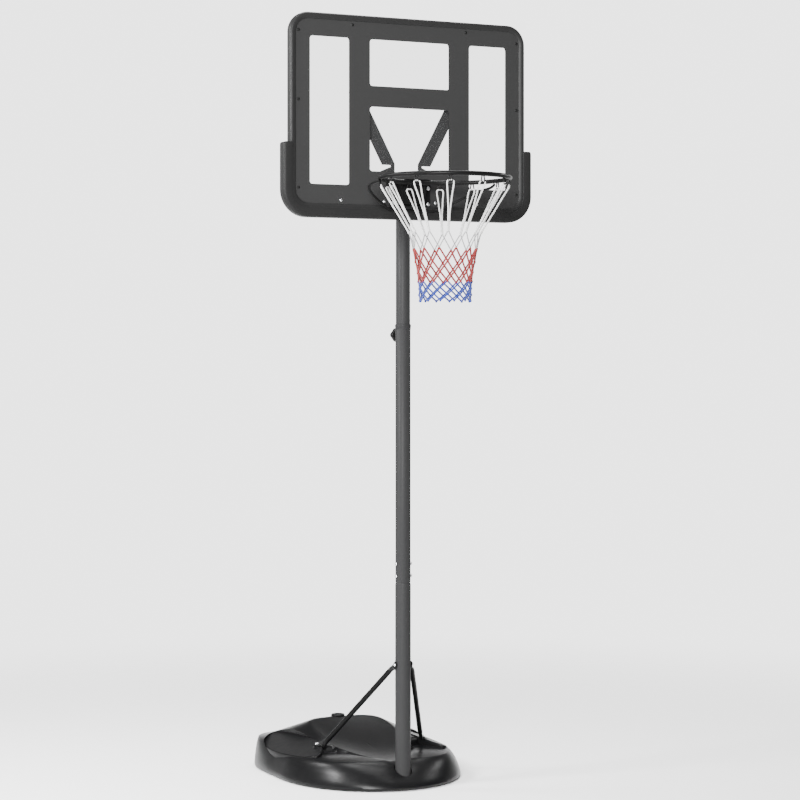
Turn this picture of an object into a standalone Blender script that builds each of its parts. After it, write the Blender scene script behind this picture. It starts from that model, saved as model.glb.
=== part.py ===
"""Portable basketball hoop on a ballast tank, in metres, +Z up.

The origin is on the floor, on the axis of the pole. The board faces -Y and the tank lies towards +Y.
Run it with: blender --background --python part.py
"""

import math

import bmesh
import bpy
from mathutils import Matrix, Vector

NAME = "portable_basketball_hoop"
GAP = 0.0003  # left between pieces that touch
BOLT_SHANK = 0.003
BOLT_HOLE = 0.0034
NUT_HEIGHT = 0.0055
BOLT_TAIL = 0.0075  # what a bolt's shank has beyond the stack: its nut and a little more

# Pole: three tubes of one round section each
POLE_SIDES = 28
LOWER_RADIUS = 0.02925
MIDDLE_RADIUS = 0.0284
UPPER_RADIUS = 0.0269
NECK_RADIUS = 0.0266  # reduced top of the lower tube, inside the middle tube
TUBE_WALL = 0.0011
POLE_FOOT_Z = 0.0123
JOINT_Z = 0.768
NECK_TOP_Z = 0.905
JOINT_BOLT_HEIGHTS = (0.795, 0.8405)
MIDDLE_TOP_Z = 1.728
COLLAR_TOP_Z = 1.737
COLLAR_RADIUS = 0.0301
UPPER_FOOT_Z = 1.25
UPPER_TOP_Z = 2.262

# Clamp knob, behind the middle tube
KNOB_Z = 1.698
KNOB_RADIUS = 0.0275
KNOB_LOBES = 5
KNOB_Y = 0.043
KNOB_THICKNESS = 0.020

# Tank outline at its widest, and its wall
TANK_HALF_WIDTH = 0.357
TANK_WIDEST_Y = 0.34
TANK_FRONT_Y = -0.070
TANK_REAR_Y = 0.800
TANK_REAR_SQUARENESS = 4.2
TANK_SPOKES = 60
CAVITY_SPOKES = 30
TANK_SKIN = 0.004
ROOF_SKIN = 0.009  # thick enough that the creases do not reach the cavity
SHOULDER_INSET = 0.045
SHOULDER_Z = 0.098
REAR_RISE = 0.020  # extra height of the shoulder towards the rear
REAR_TIGHTNESS = 0.6  # how much tighter the shoulder's rounding is towards the rear
WALL_PROFILE = ((0.012, 0.0), (0.003, 0.05), (0.0, 0.14), (0.003, 0.28), (0.010, 0.47),
                (0.018, 0.66), (0.028, 0.83), (0.045, 1.0))  # (inset, share of the shoulder's height)
CAVITY_PROFILE = ((0.010, 0.0), (0.001, 0.15), (0.010, 0.47), (0.025, 0.78), (0.045, 1.0))
TOP_RINGS = (0.87, 0.78, 0.69, 0.60, 0.50, 0.40, 0.30, 0.20, 0.10)  # shares of the way to the centre
WELL_RADIUS = 0.0335
WELL_FLOOR_Z = 0.012
FILLER_Y = 0.610
FILLER_HOLE_RADIUS = 0.016
FILLER_NECK_RADIUS = 0.021
FILLER_RISE = 0.0050  # of the neck above the top

# Raised pads that carry the struts
PAD_OUTLINE = ((0.326, 0.580), (0.300, 0.634), (0.258, 0.671), (0.228, 0.630), (0.208, 0.510), (0.200, 0.400),
               (0.206, 0.310), (0.228, 0.235), (0.266, 0.194), (0.300, 0.236), (0.322, 0.330), (0.336, 0.430),
               (0.336, 0.520))  # on the right
PAD_MIDDLE = (0.26, 0.41)
PAD_Z = 0.1185  # at its middle
PAD_TILT = 0.345  # rise towards the tank's middle, per metre
PAD_CLIMB = 0.02  # rise towards the rear, per metre
PAD_DEPTH = 0.030
PAD_GROOVE = 0.002  # its width and depth where the pad is sunk into the top

# Struts
STRUT_TOP_Z = 0.463
STRUT_RADIUS = 0.0095
STRUT_FOOT = (0.206, 0.275)
FOOT_BOLT = (0.223, 0.2975)
FOOT_SEAT_Z = 0.129
SEAT_RADIUS = 0.026  # of the flat that is sunk into each pad for the strut's foot
TAB_THICKNESS = 0.004

# Wheels and their axle, at the rear corners
AXLE_Y = 0.768
AXLE_Z = 0.0345
AXLE_RADIUS = 0.004
AXLE_HALF_LENGTH = 0.252
WHEEL_X = 0.233
WHEEL_RADIUS = 0.030
WHEEL_WIDTH = 0.022
NOTCH_X = 0.216
NOTCH_Y = 0.732
NOTCH_TOP_Z = 0.072

# Board: layers from the front (-Y) to the back
FACE_Y = -0.0600
FACING_THICKNESS = 0.0008
SHEET_THICKNESS = 0.003
FRAME_BACK_Y = -0.0300
RIM_FRONT_Y = -0.0660
GUARD_FRONT_Y = -0.0702
FRAME_HALF_WIDTH = 0.4826
FRAME_BOTTOM_Z = 2.152
FRAME_TOP_Z = 2.874
FRAME_CORNER = 0.075
RIM_WIDTH = 0.0246
GUARD_HALF_WIDTH = 0.5096
GUARD_BOTTOM_Z = 2.125
GUARD_TOP_Z = 2.397
GUARD_CORNER = 0.100
GUARD_LIP = 0.0096  # how far its front reaches over the frame's rim
RIM_PROFILE = ((0.003, -0.0315), (0.0, -0.036), (0.0, -0.057), (0.003, -0.0635), (0.0095, RIM_FRONT_Y),
               (0.016, -0.0648), (0.0235, -0.0607), (RIM_WIDTH, FACE_Y), (RIM_WIDTH, -0.0315))  # (inset, y)
WINDOW_CORNER = 0.008
FRAME_SETBACK = 0.012  # of the frame's openings behind the windows
FRAME_SKIN = 0.005
MIDDLE_POCKETS = ((-0.145, 0.145, 2.558, 2.597), (-0.214, 0.214, 2.806, 2.843), (-0.060, 0.060, 2.184, 2.282))
SIDE_POCKETS = ((0.181, 0.229, 2.330, 2.570), (0.181, 0.229, 2.610, 2.792), (0.252, 0.430, 2.806, 2.843),
                (0.421, 0.4405, 2.250, 2.790), (0.122, 0.262, 2.184, 2.226), (0.296, 0.415, 2.184, 2.226))
GROOVE_PROFILE = ((0.004, -0.020), (0.004, -0.058), (0.0206, -0.058), (0.0206, -0.020))  # (inset, y)
MIDDLE_WINDOW_HALF = 0.1626
SIDE_WINDOW = (0.247, 0.403)
WINDOW_TOP_Z = 2.7875
TARGET_TOP_Z = 2.539
TARGET_BOTTOM_Z = 2.301
UPPER_WINDOW_BOTTOM_Z = 2.616
SIDE_WINDOW_BOTTOM_Z = 2.247
SCREW_SPOTS = ((0.233, 2.836), (0.448, 2.806), (0.448, 2.553), (0.448, 2.232))  # mirrored
BOARD_BOLT_SPOTS = ((0.105, 2.190), (0.279, 2.190))  # mirrored
RIM_BOLT_SPOTS = ((0.0735, 2.2436), (0.0735, 2.1838))  # mirrored
ARM_BOLT_SPOT = (0.210, 2.590)

# Rear bracket, all of one sheet thickness
SHEET_METAL = 0.0025
BRACKET_BOTTOM_Z = 2.160
BRACKET_TOP_Z = 2.258
BRACKET_BOLT_HEIGHTS = (2.182, 2.238)

# Rim
RING_Z = 2.259
RING_INNER_RADIUS = 0.225
RING_ROD = 0.0085
RING_Y = FACE_Y - 0.297
HOOK_COUNT = 12
HOOK_PHASE = math.radians(8.5)  # of the first hook from +X
HOOK_DROP = 0.022
HOOK_HALF_WIDTH = 0.011
HOOK_WIRE = 0.0021
MOUNT_HALF_WIDTH = 0.082
MOUNT_BOTTOM_Z = 2.1773
BOX_BOTTOM_Z = 2.165
MOUNT_PLATE = 0.003
BOX_HALF_WIDTH = 0.051
BRACE_ROD = 0.005

# Net, as a plain sleeve: (height, radius)
NET_PROFILE = ((2.2235, 0.2265), (2.055, 0.127), (2.004, 0.1173), (1.8855, 0.096), (1.8145, 0.0925))
NET_THICKNESS = 0.003

RING_RADIUS = RING_INNER_RADIUS + RING_ROD


# Scene, materials and small helpers

def clear_scene():
    for old in list(bpy.data.objects):
        bpy.data.objects.remove(old, do_unlink=True)


def new_collection(name):
    collection = bpy.data.collections.new(name)
    bpy.context.scene.collection.children.link(collection)
    return collection


def make_material(name, colour, roughness, metallic=0.0, alpha=1.0):
    material = bpy.data.materials.new(name)
    material.use_nodes = True
    shader = material.node_tree.nodes["Principled BSDF"]
    shader.inputs["Base Color"].default_value = (*colour, 1.0)
    shader.inputs["Roughness"].default_value = roughness
    shader.inputs["Metallic"].default_value = metallic
    shader.inputs["Alpha"].default_value = alpha
    return material


clear_scene()
PARTS = new_collection(NAME)
CUTTERS = new_collection("cutters")
MATERIALS = {
    "tank": make_material("tank_plastic", (0.018, 0.018, 0.018), 0.42),
    "powder": make_material("powder_coat", (0.065, 0.065, 0.066), 0.45, 0.3),
    "black": make_material("black_paint", (0.015, 0.015, 0.015), 0.4, 0.3),
    "steel": make_material("zinc_steel", (0.75, 0.75, 0.76), 0.3, 1.0),
    "facing": make_material("facing_grey", (0.080, 0.080, 0.080), 0.45),
    "rim": make_material("frame_grey", (0.050, 0.050, 0.050), 0.4),
    "clear": make_material("clear_sheet", (0.85, 0.87, 0.88), 0.05, 0.0, 0.3),
    "plastic": make_material("black_plastic", (0.02, 0.02, 0.02), 0.5),
    "rubber": make_material("seal_rubber", (0.03, 0.03, 0.03), 0.8),
    "net": make_material("net_cord", (0.85, 0.85, 0.85), 0.9),
}


def add_part(name, mesh, material, location=(0, 0, 0), turn=None):
    """Link a mesh as a named part with its material."""
    part = bpy.data.objects.new(name, mesh)
    PARTS.objects.link(part)
    part.location = location
    if turn is not None:
        part.rotation_euler = turn
    mesh.materials.clear()
    mesh.materials.append(MATERIALS[material])
    return part


def as_cutter(part):
    PARTS.objects.unlink(part)
    CUTTERS.objects.link(part)
    part.hide_render = True
    part.display_type = 'WIRE'
    return part


def combine(target, other, operation):
    """Boolean of another object with the target; the other one becomes a cutter."""
    if other.name not in CUTTERS.objects:
        as_cutter(other)
    step = target.modifiers.new(operation.lower(), 'BOOLEAN')
    step.operation = operation
    step.solver = 'EXACT'
    step.object = other
    return target


def cut(target, other):
    return combine(target, other, 'DIFFERENCE')


def join(target, other):
    return combine(target, other, 'UNION')


def mesh_from(build, name):
    """Run a bmesh builder and keep its result with normals facing out."""
    shape = bmesh.new()
    build(shape)
    bmesh.ops.recalc_face_normals(shape, faces=shape.faces)
    mesh = bpy.data.meshes.new(name)
    shape.to_mesh(mesh)
    shape.free()
    return mesh


def box(name, low, high, material="powder"):
    middle = [(a + b) / 2 for a, b in zip(low, high)]
    size = [b - a for a, b in zip(low, high)]

    def build(shape):
        bmesh.ops.create_cube(shape, size=1.0, matrix=Matrix.Diagonal((*size, 1.0)))

    return add_part(name, mesh_from(build, name), material, middle)


TURNS = {"Z": (0, 0, 0), "X": (0, math.pi / 2, 0), "Y": (-math.pi / 2, 0, 0)}  # local +Z points there


def cylinder(name, radius, start, end, axis="Z", across=(0, 0), sides=20, material="steel"):
    """A round bar along X, Y or Z from start to end; across is its place on the other two axes."""
    middle = list(across)
    middle.insert("XYZ".index(axis), (start + end) / 2)

    def build(shape):
        bmesh.ops.create_cone(shape, cap_ends=True, segments=sides, radius1=radius, radius2=radius,
                              depth=end - start)

    part = add_part(name, mesh_from(build, name), material, middle, TURNS[axis])
    part.data.shade_smooth()
    part.data.set_sharp_from_angle(angle=math.radians(40))
    return part


def turned(name, profile, material, location=(0, 0, 0), turn=None, sides=24, closed=False):
    """A turned piece from (radius, height) points that run down its outer side; closed makes a ring."""
    points = [(radius, 0.0, height) for radius, height in profile]
    edges = [(i, i + 1) for i in range(len(points) - 1)]
    if closed:
        edges.append((len(points) - 1, 0))
    mesh = bpy.data.meshes.new(name)
    mesh.from_pydata(points, edges, [])
    part = add_part(name, mesh, material, location, turn)
    screw = part.modifiers.new("turn", 'SCREW')
    screw.steps = sides
    screw.render_steps = sides
    screw.use_merge_vertices = True
    screw.merge_threshold = 0.00001
    screw.use_smooth_shade = True
    return part


def tube(name, outer, inner, bottom, top, material, location=(0, 0, 0), sides=POLE_SIDES):
    profile = [(outer, top), (outer, bottom), (inner, bottom), (inner, top)]
    return turned(name, profile, material, location, sides=sides, closed=True)


def mesh_of_curve(curve, material):
    """Replace a curve object by its mesh, with the caps welded on."""
    bpy.context.view_layer.update()
    evaluated = curve.evaluated_get(bpy.context.evaluated_depsgraph_get())
    mesh = bpy.data.meshes.new_from_object(evaluated)
    shape = bmesh.new()
    shape.from_mesh(mesh)
    bmesh.ops.remove_doubles(shape, verts=shape.verts, dist=0.00001)
    bmesh.ops.recalc_face_normals(shape, faces=shape.faces)
    shape.to_mesh(mesh)
    shape.free()
    name = curve.name
    place = curve.matrix_world.copy()
    bpy.data.objects.remove(curve, do_unlink=True)
    part = add_part(name, mesh, material)
    part.name = name
    part.matrix_world = place
    return part


def prisms(name, outlines, middle, thickness, material, facing="Y"):
    """Upright prisms over flat outlines, in one object.

    Facing Y, an outline's points are (x, z) and middle is the prisms' y; facing Z, they are (x, y).
    """
    def build(shape):
        for outline in outlines:
            low = [shape.verts.new((x, y, -thickness / 2)) for x, y in outline]
            high = [shape.verts.new((x, y, thickness / 2)) for x, y in outline]
            for i in range(len(outline)):
                j = (i + 1) % len(outline)
                shape.faces.new((low[i], low[j], high[j], high[i]))
            shape.faces.new(low)
            shape.faces.new(high)

    if facing == "Y":
        return add_part(name, mesh_from(build, name), material, (0, middle, 0), (math.pi / 2, 0, 0))
    return add_part(name, mesh_from(build, name), material, (0, 0, middle))


def plate(name, outline, holes, middle, thickness, material, facing="Y"):
    """A flat plate with holes through it; the outlines are as for the prisms."""
    part = prisms(name, [outline], middle, thickness, material, facing)
    if holes:
        cut(part, prisms(f"{name}_holes", holes, middle, thickness + 0.002, material, facing))
    return part


def rod(name, points, radius, material, resolution=2, cyclic=False):
    data = bpy.data.curves.new(name, 'CURVE')
    data.dimensions = '3D'
    data.bevel_depth = radius
    data.bevel_resolution = resolution
    data.use_fill_caps = not cyclic
    spline = data.splines.new('POLY')
    spline.points.add(len(points) - 1)
    for point, place in zip(spline.points, points):
        point.co = (*place, 1.0)
    spline.use_cyclic_u = cyclic
    curve = bpy.data.objects.new(name, data)
    PARTS.objects.link(curve)
    part = mesh_of_curve(curve, material)
    part.data.shade_smooth()
    return part


def arc(centre, radius, start, end, steps):
    """Points on an arc, with angles in degrees."""
    angles = [math.radians(start + (end - start) * i / steps) for i in range(steps + 1)]
    return [(centre[0] + radius * math.cos(a), centre[1] + radius * math.sin(a)) for a in angles]


def circle(centre, radius, sides=8):
    return arc(centre, radius, 0, 360 * (sides - 1) / sides, sides - 1)


def rounded_box(left, right, bottom, top, corner, steps=4):
    points = arc((right - corner, top - corner), corner, 0, 90, steps)
    points += arc((left + corner, top - corner), corner, 90, 180, steps)
    points += arc((left + corner, bottom + corner), corner, 180, 270, steps)
    points += arc((right - corner, bottom + corner), corner, 270, 360, steps)
    return points


def smooth_span(padded, steps):
    """Points on a smooth curve (Catmull-Rom) through the given ones, but for the first and the last."""
    result = []
    for i in range(len(padded) - 3):
        before, start, end, after = (Vector(p) for p in padded[i:i + 4])
        for step in range(steps):
            t = step / steps
            result.append(0.5 * (2 * start + (end - before) * t
                                 + (2 * before - 5 * start + 4 * end - after) * t ** 2
                                 + (3 * start - before - 3 * end + after) * t ** 3))
    return result


def smooth_through(points, steps):
    return smooth_span([points[0], *points, points[-1]], steps) + [Vector(points[-1])]


def smooth_loop(points, steps):
    return smooth_span([points[-1], *points, points[0], points[1]], steps)


def mirrored(spots):
    """Each (x, z) spot on the left and on the right, with the side's name."""
    return [(side, sign * x, z) for x, z in spots for side, sign in (("left", -1), ("right", 1))]


# Fasteners

def dome_bolt(name, seat, axis, across, reach, shank, head, height, material="steel", nut=None):
    """A round-headed bolt whose head sits at seat and points to -axis; reach is its shank's length.

    nut is (start, end, radius) of a nut run onto the shank, measured from the seat.
    """
    profile = [(0.0, height), (0.6 * head, 0.85 * height), (head, 0.3 * height), (head, 0.0), (shank, 0.0)]
    if nut:
        start, end, radius = nut
        profile += [(shank, -start), (radius, -start), (radius, -end), (shank, -end)]
    profile += [(shank, -reach), (0.0, -reach)]
    place = list(across)
    place.insert("XYZ".index(axis), seat)
    turn = {"X": (0, -math.pi / 2, 0), "Y": (math.pi / 2, 0, 0), "Z": (math.pi, 0, 0)}[axis]
    return turned(name, profile, material, place, turn, sides=10)


def hex_nut(name, start, end, height):
    """A hexagon nut along X, in the pole's middle plane."""
    nut = prisms(name, [circle((0, 0), 0.0068, 6)], 0, end - start, "steel", facing="Z")
    nut.rotation_euler = TURNS["X"]
    nut.location = ((start + end) / 2, 0, height)
    return cut(nut, cylinder(f"{name}_bore", BOLT_HOLE, start - 0.001, end + 0.001, "X", (0, height), 12))


def through_bolt(group, where, seat, height):
    """A bolt through the pole along X, with its nut on the right; seat is half the stack's width."""
    reach = 2 * seat + BOLT_TAIL
    dome_bolt(f"{group}_bolt_{where}", -seat, "X", (0, height), reach, BOLT_SHANK, 0.0065, 0.0042)
    hex_nut(f"{group}_nut_{where}", seat, seat + NUT_HEIGHT, height)


# Tank

def tank_reach(angle):
    """Distance from the tank's centre to its outline; the front is an ellipse, the rear squarer."""
    c, s = abs(math.cos(angle)), math.sin(angle)
    power = TANK_REAR_SQUARENESS if s > 0 else 2.0
    depth = TANK_REAR_Y - TANK_WIDEST_Y if s > 0 else TANK_WIDEST_Y - TANK_FRONT_Y
    return ((c / TANK_HALF_WIDTH) ** power + (abs(s) / depth) ** power) ** (-1 / power)


def front_slope(angle):
    """How much wider the wall's slope is than at the sides: most straight in front of the pole."""
    from_front = math.remainder(angle + math.pi / 2, 2 * math.pi)
    return 1 + 2.0 * math.exp(-(from_front / 0.45) ** 2)


def soft_step(low, high, value):
    t = min(1.0, max(0.0, (value - low) / (high - low)))
    return t * t * (3 - 2 * t)


def soft_min(a, b, width):
    share = min(1.0, max(0.0, 0.5 + 0.5 * (b - a) / width))
    return b + (a - b) * share - width * share * (1 - share)


def rear_share(angle):
    """0 at the front and the sides, 1 at the rear."""
    return soft_step(0.25, 0.8, math.sin(angle))


def top_height(x, y):
    """Height of the tank's top: front lobes, a dish that rises to the rear, and sloping flanks."""
    angle = math.atan2(y - TANK_WIDEST_Y, x)
    inset = (tank_reach(angle) - math.hypot(x, y - TANK_WIDEST_Y)) / front_slope(angle)
    inset = max(inset, SHOULDER_INSET)
    lobes = 0.106 - 1.42 * max(0.0, 0.12 - inset) ** 2
    rise = REAR_RISE * rear_share(angle)
    steepness = 0.30 + 0.27 * max(0.0, math.sin(angle)) ** 3 - rise / 0.16
    flank = SHOULDER_Z + rise + steepness * (inset - SHOULDER_INSET)
    dish = 0.093 + 0.285 * max(0.0, y - 0.02) ** 2 + 0.5 * x * x
    rear = soft_min(flank, dish, 0.02)
    side = min(abs(x), 0.165)
    behind_crease = y - 0.03 - 0.7 * side - 4.9 * side * side - 0.4 * (abs(x) - side)
    share = soft_step(-0.02, 0.035, behind_crease)
    crease = 0.005 * math.exp(-(behind_crease / 0.014) ** 2) * soft_step(0.05, 0.09, inset)
    return lobes + (rear - lobes) * share - crease


def tank_rings(spokes, profile, top_rings, skin, roof):
    """Closed rings of points from the floor up to the middle of the top, moved in by skin and roof."""
    angles = [2 * math.pi * i / spokes - math.pi / 2 for i in range(spokes)]

    def at(angle, reach):
        return reach * math.cos(angle), TANK_WIDEST_Y + reach * math.sin(angle)

    rings = []
    for inset, share in profile:
        ring = []
        for angle in angles:
            widening = front_slope(angle)
            shoulder = at(angle, tank_reach(angle) - SHOULDER_INSET * widening)
            if inset < SHOULDER_INSET:
                widening *= 1 - REAR_TIGHTNESS * rear_share(angle)
            x, y = at(angle, tank_reach(angle) - inset * widening - skin)
            ring.append((x, y, skin + (top_height(*shoulder) - roof - skin) * share))
        rings.append(ring)
    for part in top_rings:
        ring = []
        for angle in angles:
            reach = (tank_reach(angle) - SHOULDER_INSET * front_slope(angle) - skin) * part
            x, y = at(angle, reach)
            ring.append((x, y, top_height(x, y) - roof))
        rings.append(ring)
    return rings


def tank_solid(name, rings, crown_z):
    """A closed solid over the rings, with a flat floor and a pointed fan at the crown."""
    spokes = len(rings[0])

    def build(shape):
        made = [[shape.verts.new(point) for point in ring] for ring in rings]
        for low, high in zip(made, made[1:]):
            for i in range(spokes):
                j = (i + 1) % spokes
                shape.faces.new((low[i], low[j], high[j], high[i]))
        crown = shape.verts.new((0, TANK_WIDEST_Y, crown_z))
        shape.faces.new(made[0])
        for i in range(spokes):
            shape.faces.new((crown, made[-1][i], made[-1][(i + 1) % spokes]))

    return add_part(name, mesh_from(build, name), "tank")


def pad_plane(x, y):
    """Height of the pads' tilted tops."""
    return PAD_Z - PAD_TILT * (abs(x) - PAD_MIDDLE[0]) + PAD_CLIMB * (y - PAD_MIDDLE[1])


def pad_prism(name, sign, grow, bottom, top):
    """A prism over a pad's outline, moved out by grow; bottom and top are heights from the pads' plane."""
    middle = Vector(PAD_MIDDLE)
    outline = []
    for point in smooth_loop(PAD_OUTLINE, 3):
        spot = point + (point - middle).normalized() * grow
        outline.append((sign * spot.x, spot.y))

    def build(shape):
        low = [shape.verts.new((x, y, pad_plane(x, y) + bottom)) for x, y in outline]
        high = [shape.verts.new((x, y, pad_plane(x, y) + top)) for x, y in outline]
        for i in range(len(outline)):
            j = (i + 1) % len(outline)
            shape.faces.new((low[i], low[j], high[j], high[i]))
        shape.faces.new(low)
        shape.faces.new(high)

    return add_part(name, mesh_from(build, name), "tank")


def make_tank():
    rings = tank_rings(TANK_SPOKES, WALL_PROFILE, TOP_RINGS, 0.0, 0.0)
    tank = tank_solid("base_tank", rings, top_height(0, TANK_WIDEST_Y))
    rings = tank_rings(CAVITY_SPOKES, CAVITY_PROFILE, TOP_RINGS[::2], TANK_SKIN, ROOF_SKIN)
    cavity = tank_solid("cavity", rings, top_height(0, TANK_WIDEST_Y) - ROOF_SKIN)
    neck_top = top_height(0, FILLER_Y) + FILLER_RISE
    for side, sign in (("left", -1), ("right", 1)):
        bolt = (sign * FOOT_BOLT[0], FOOT_BOLT[1])
        cut(tank, pad_prism(f"pad_pocket_{side}", sign, PAD_GROOVE, -PAD_GROOVE, 0.06))
        join(tank, pad_prism(f"pad_{side}", sign, 0.0, -PAD_DEPTH, 0.0))
        cut(cavity, pad_prism(f"pad_room_{side}", sign, 2 * PAD_GROOVE, -3 * PAD_GROOVE, 0.08))
        middle = (sign * 0.96 * FOOT_BOLT[0], 0.96 * FOOT_BOLT[1])
        cut(tank, cylinder(f"seat_flat_{side}", SEAT_RADIUS, FOOT_SEAT_Z, 0.25, across=middle, sides=24))
        join(tank, cylinder(f"seat_{side}", 0.015, 0.088, FOOT_SEAT_Z, across=bolt))
        cut(tank, cylinder(f"pilot_{side}", 0.0043, 0.092, 0.14, across=bolt, sides=16))
        cut(cavity, cylinder(f"seat_room_{side}", 0.013, 0.05, 0.14, across=bolt))
        reach = (sign * NOTCH_X, sign * 0.45)
        cut(tank, box(f"notch_{side}", (min(reach), NOTCH_Y, -0.01), (max(reach), 0.9, NOTCH_TOP_Z)))
        inner = (sign * (NOTCH_X - TANK_SKIN), sign * 0.45)
        cut(cavity, box(f"notch_room_{side}", (min(inner), NOTCH_Y - TANK_SKIN, -0.01),
                        (max(inner), 0.9, NOTCH_TOP_Z + TANK_SKIN)))
    spot = (0, FILLER_Y)
    join(tank, cylinder("filler_neck", FILLER_NECK_RADIUS, neck_top - 0.03, neck_top, across=spot, sides=32))
    cut(tank, cylinder("pole_well", WELL_RADIUS, WELL_FLOOR_Z, 0.3, sides=POLE_SIDES))
    cut(tank, cylinder("axle_tunnel", AXLE_RADIUS + 0.0004, -0.4, 0.4, "X", (AXLE_Y, AXLE_Z), 16))
    cut(cavity, box("nose_room", (-0.07, -0.1, -0.01), (0.07, WELL_RADIUS + TANK_SKIN, 0.3)))
    cut(cavity, box("tunnel_room", (-0.4, AXLE_Y - 0.0085, -0.01), (0.4, 0.9, AXLE_Z + 0.0085)))
    cut(tank, cavity)
    cut(tank, cylinder("filler_hole", FILLER_HOLE_RADIUS, 0.10, 0.3, across=spot, sides=32))
    tank.data.shade_smooth()
    tank.data.set_sharp_from_angle(angle=math.radians(35))


def make_filler_cap():
    seat = top_height(0, FILLER_Y) + FILLER_RISE
    skirt = FILLER_NECK_RADIUS + 0.0005
    outer = skirt + 0.0055
    top = seat + 0.0080
    profile = [(0.0, top), (0.6 * outer, top - 0.0005), (0.9 * outer, top - 0.002), (outer, top - 0.0045),
               (outer, seat - 0.0025), (skirt, seat - 0.0025), (skirt, seat + 0.0032), (0.0, seat + 0.0032)]
    turned("filler_cap", profile, "plastic", (0, FILLER_Y, 0), sides=32)
    tube("filler_gasket", FILLER_NECK_RADIUS, FILLER_HOLE_RADIUS + 0.001, seat + GAP, seat + 0.0029, "rubber",
         (0, FILLER_Y, 0), 32)


def make_wheels():
    cylinder("wheel_axle", AXLE_RADIUS, -AXLE_HALF_LENGTH, AXLE_HALF_LENGTH, "X", (AXLE_Y, AXLE_Z), 16)
    half = WHEEL_WIDTH / 2
    rim = WHEEL_RADIUS
    bore = AXLE_RADIUS + 0.0004
    tread = [(rim - 0.003, half), (rim, half - 0.003), (rim, 0.003 - half), (rim - 0.003, -half)]
    web = [(rim - 0.008, -half), (rim - 0.009, -0.004), (0.010, -0.004), (0.009, -half), (bore, -half),
           (bore, half), (0.009, half), (0.010, 0.004), (rim - 0.009, 0.004), (rim - 0.008, half)]
    push_cap = [(0.0, 0.0065), (0.005, 0.006), (0.008, 0.003), (0.0085, 0.0), (0.0085, -0.001),
                (bore, -0.001), (bore, 0.0045), (0.0, 0.0045)]
    for side, sign in (("left", -1), ("right", 1)):
        hub = (sign * WHEEL_X, AXLE_Y, AXLE_Z)
        turned(f"wheel_{side}", tread + web, "plastic", hub, TURNS["X"], 24, True)
        cap = turned(f"axle_cap_{side}", push_cap, "steel", sides=12)
        cap.location = (sign * (AXLE_HALF_LENGTH - 0.004), AXLE_Y, AXLE_Z)
        cap.rotation_euler = (0, sign * math.pi / 2, 0)


# Pole

def make_pole():
    wall = TUBE_WALL
    outer, neck = LOWER_RADIUS, NECK_RADIUS
    lower = [(neck, NECK_TOP_Z), (neck, JOINT_Z + 0.003), (outer, JOINT_Z - 0.003), (outer, POLE_FOOT_Z),
             (outer - wall, POLE_FOOT_Z), (outer - wall, JOINT_Z - 0.008), (neck - wall, JOINT_Z + 0.002),
             (neck - wall, NECK_TOP_Z)]
    lower_pole = turned("pole_lower", lower, "powder", sides=POLE_SIDES, closed=True)
    foot = JOINT_Z + 0.0036
    middle = tube("pole_middle", MIDDLE_RADIUS, MIDDLE_RADIUS - wall, foot, MIDDLE_TOP_Z, "powder")
    upper = tube("pole_upper", UPPER_RADIUS, UPPER_RADIUS - wall, UPPER_FOOT_Z, UPPER_TOP_Z, "powder")
    for i, height in enumerate(JOINT_BOLT_HEIGHTS):
        hole = cylinder(f"joint_hole_{i}", BOLT_HOLE, -0.05, 0.05, "X", (0, height), 8)
        cut(lower_pole, hole)
        cut(middle, hole)
        where = ("lower", "upper")[i]
        through_bolt("joint", where, MIDDLE_RADIUS + GAP, height)
    cut(lower_pole, cylinder("strut_hole", BOLT_HOLE, -0.05, 0.05, "X", (0, STRUT_TOP_Z), 8))
    cut(middle, cylinder("lock_hole", 0.0046, 0.0, 0.05, "Y", (0, KNOB_Z), 12))
    for i, height in enumerate(BRACKET_BOLT_HEIGHTS):
        cut(upper, cylinder(f"bracket_hole_{i}", BOLT_HOLE, -0.06, 0.06, "X", (0, height), 8))
    collar = [(COLLAR_RADIUS - 0.0012, COLLAR_TOP_Z), (COLLAR_RADIUS, COLLAR_TOP_Z - 0.0015),
              (COLLAR_RADIUS, MIDDLE_TOP_Z - 0.001), (MIDDLE_RADIUS + 0.0012, MIDDLE_TOP_Z - 0.004),
              (MIDDLE_RADIUS + 0.0012, MIDDLE_TOP_Z - 0.010), (MIDDLE_RADIUS + GAP, MIDDLE_TOP_Z - 0.010),
              (MIDDLE_RADIUS + GAP, MIDDLE_TOP_Z + GAP), (UPPER_RADIUS + 0.0004, MIDDLE_TOP_Z + GAP),
              (UPPER_RADIUS + 0.0004, COLLAR_TOP_Z)]
    turned("pole_collar", collar, "plastic", sides=POLE_SIDES, closed=True)
    cap_z = UPPER_TOP_Z + GAP
    plug = UPPER_RADIUS - wall - GAP
    cap = [(0.0, cap_z + 0.003), (0.8 * UPPER_RADIUS, cap_z + 0.0028), (UPPER_RADIUS, cap_z + 0.001),
           (UPPER_RADIUS, cap_z), (plug, cap_z), (plug, cap_z - 0.010), (0.0, cap_z - 0.010)]
    turned("pole_top_cap", cap, "plastic", sides=POLE_SIDES)


def knob_outline():
    """Lobes and hollows as one wave around a circle, with one lobe pointing to -X."""
    wave = 0.0035
    steps = 8 * KNOB_LOBES
    outline = []
    for i in range(steps):
        angle = 2 * math.pi * i / steps
        radius = KNOB_RADIUS - wave + wave * math.cos(KNOB_LOBES * (angle - math.pi))
        outline.append((radius * math.cos(angle), radius * math.sin(angle)))
    return outline


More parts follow.
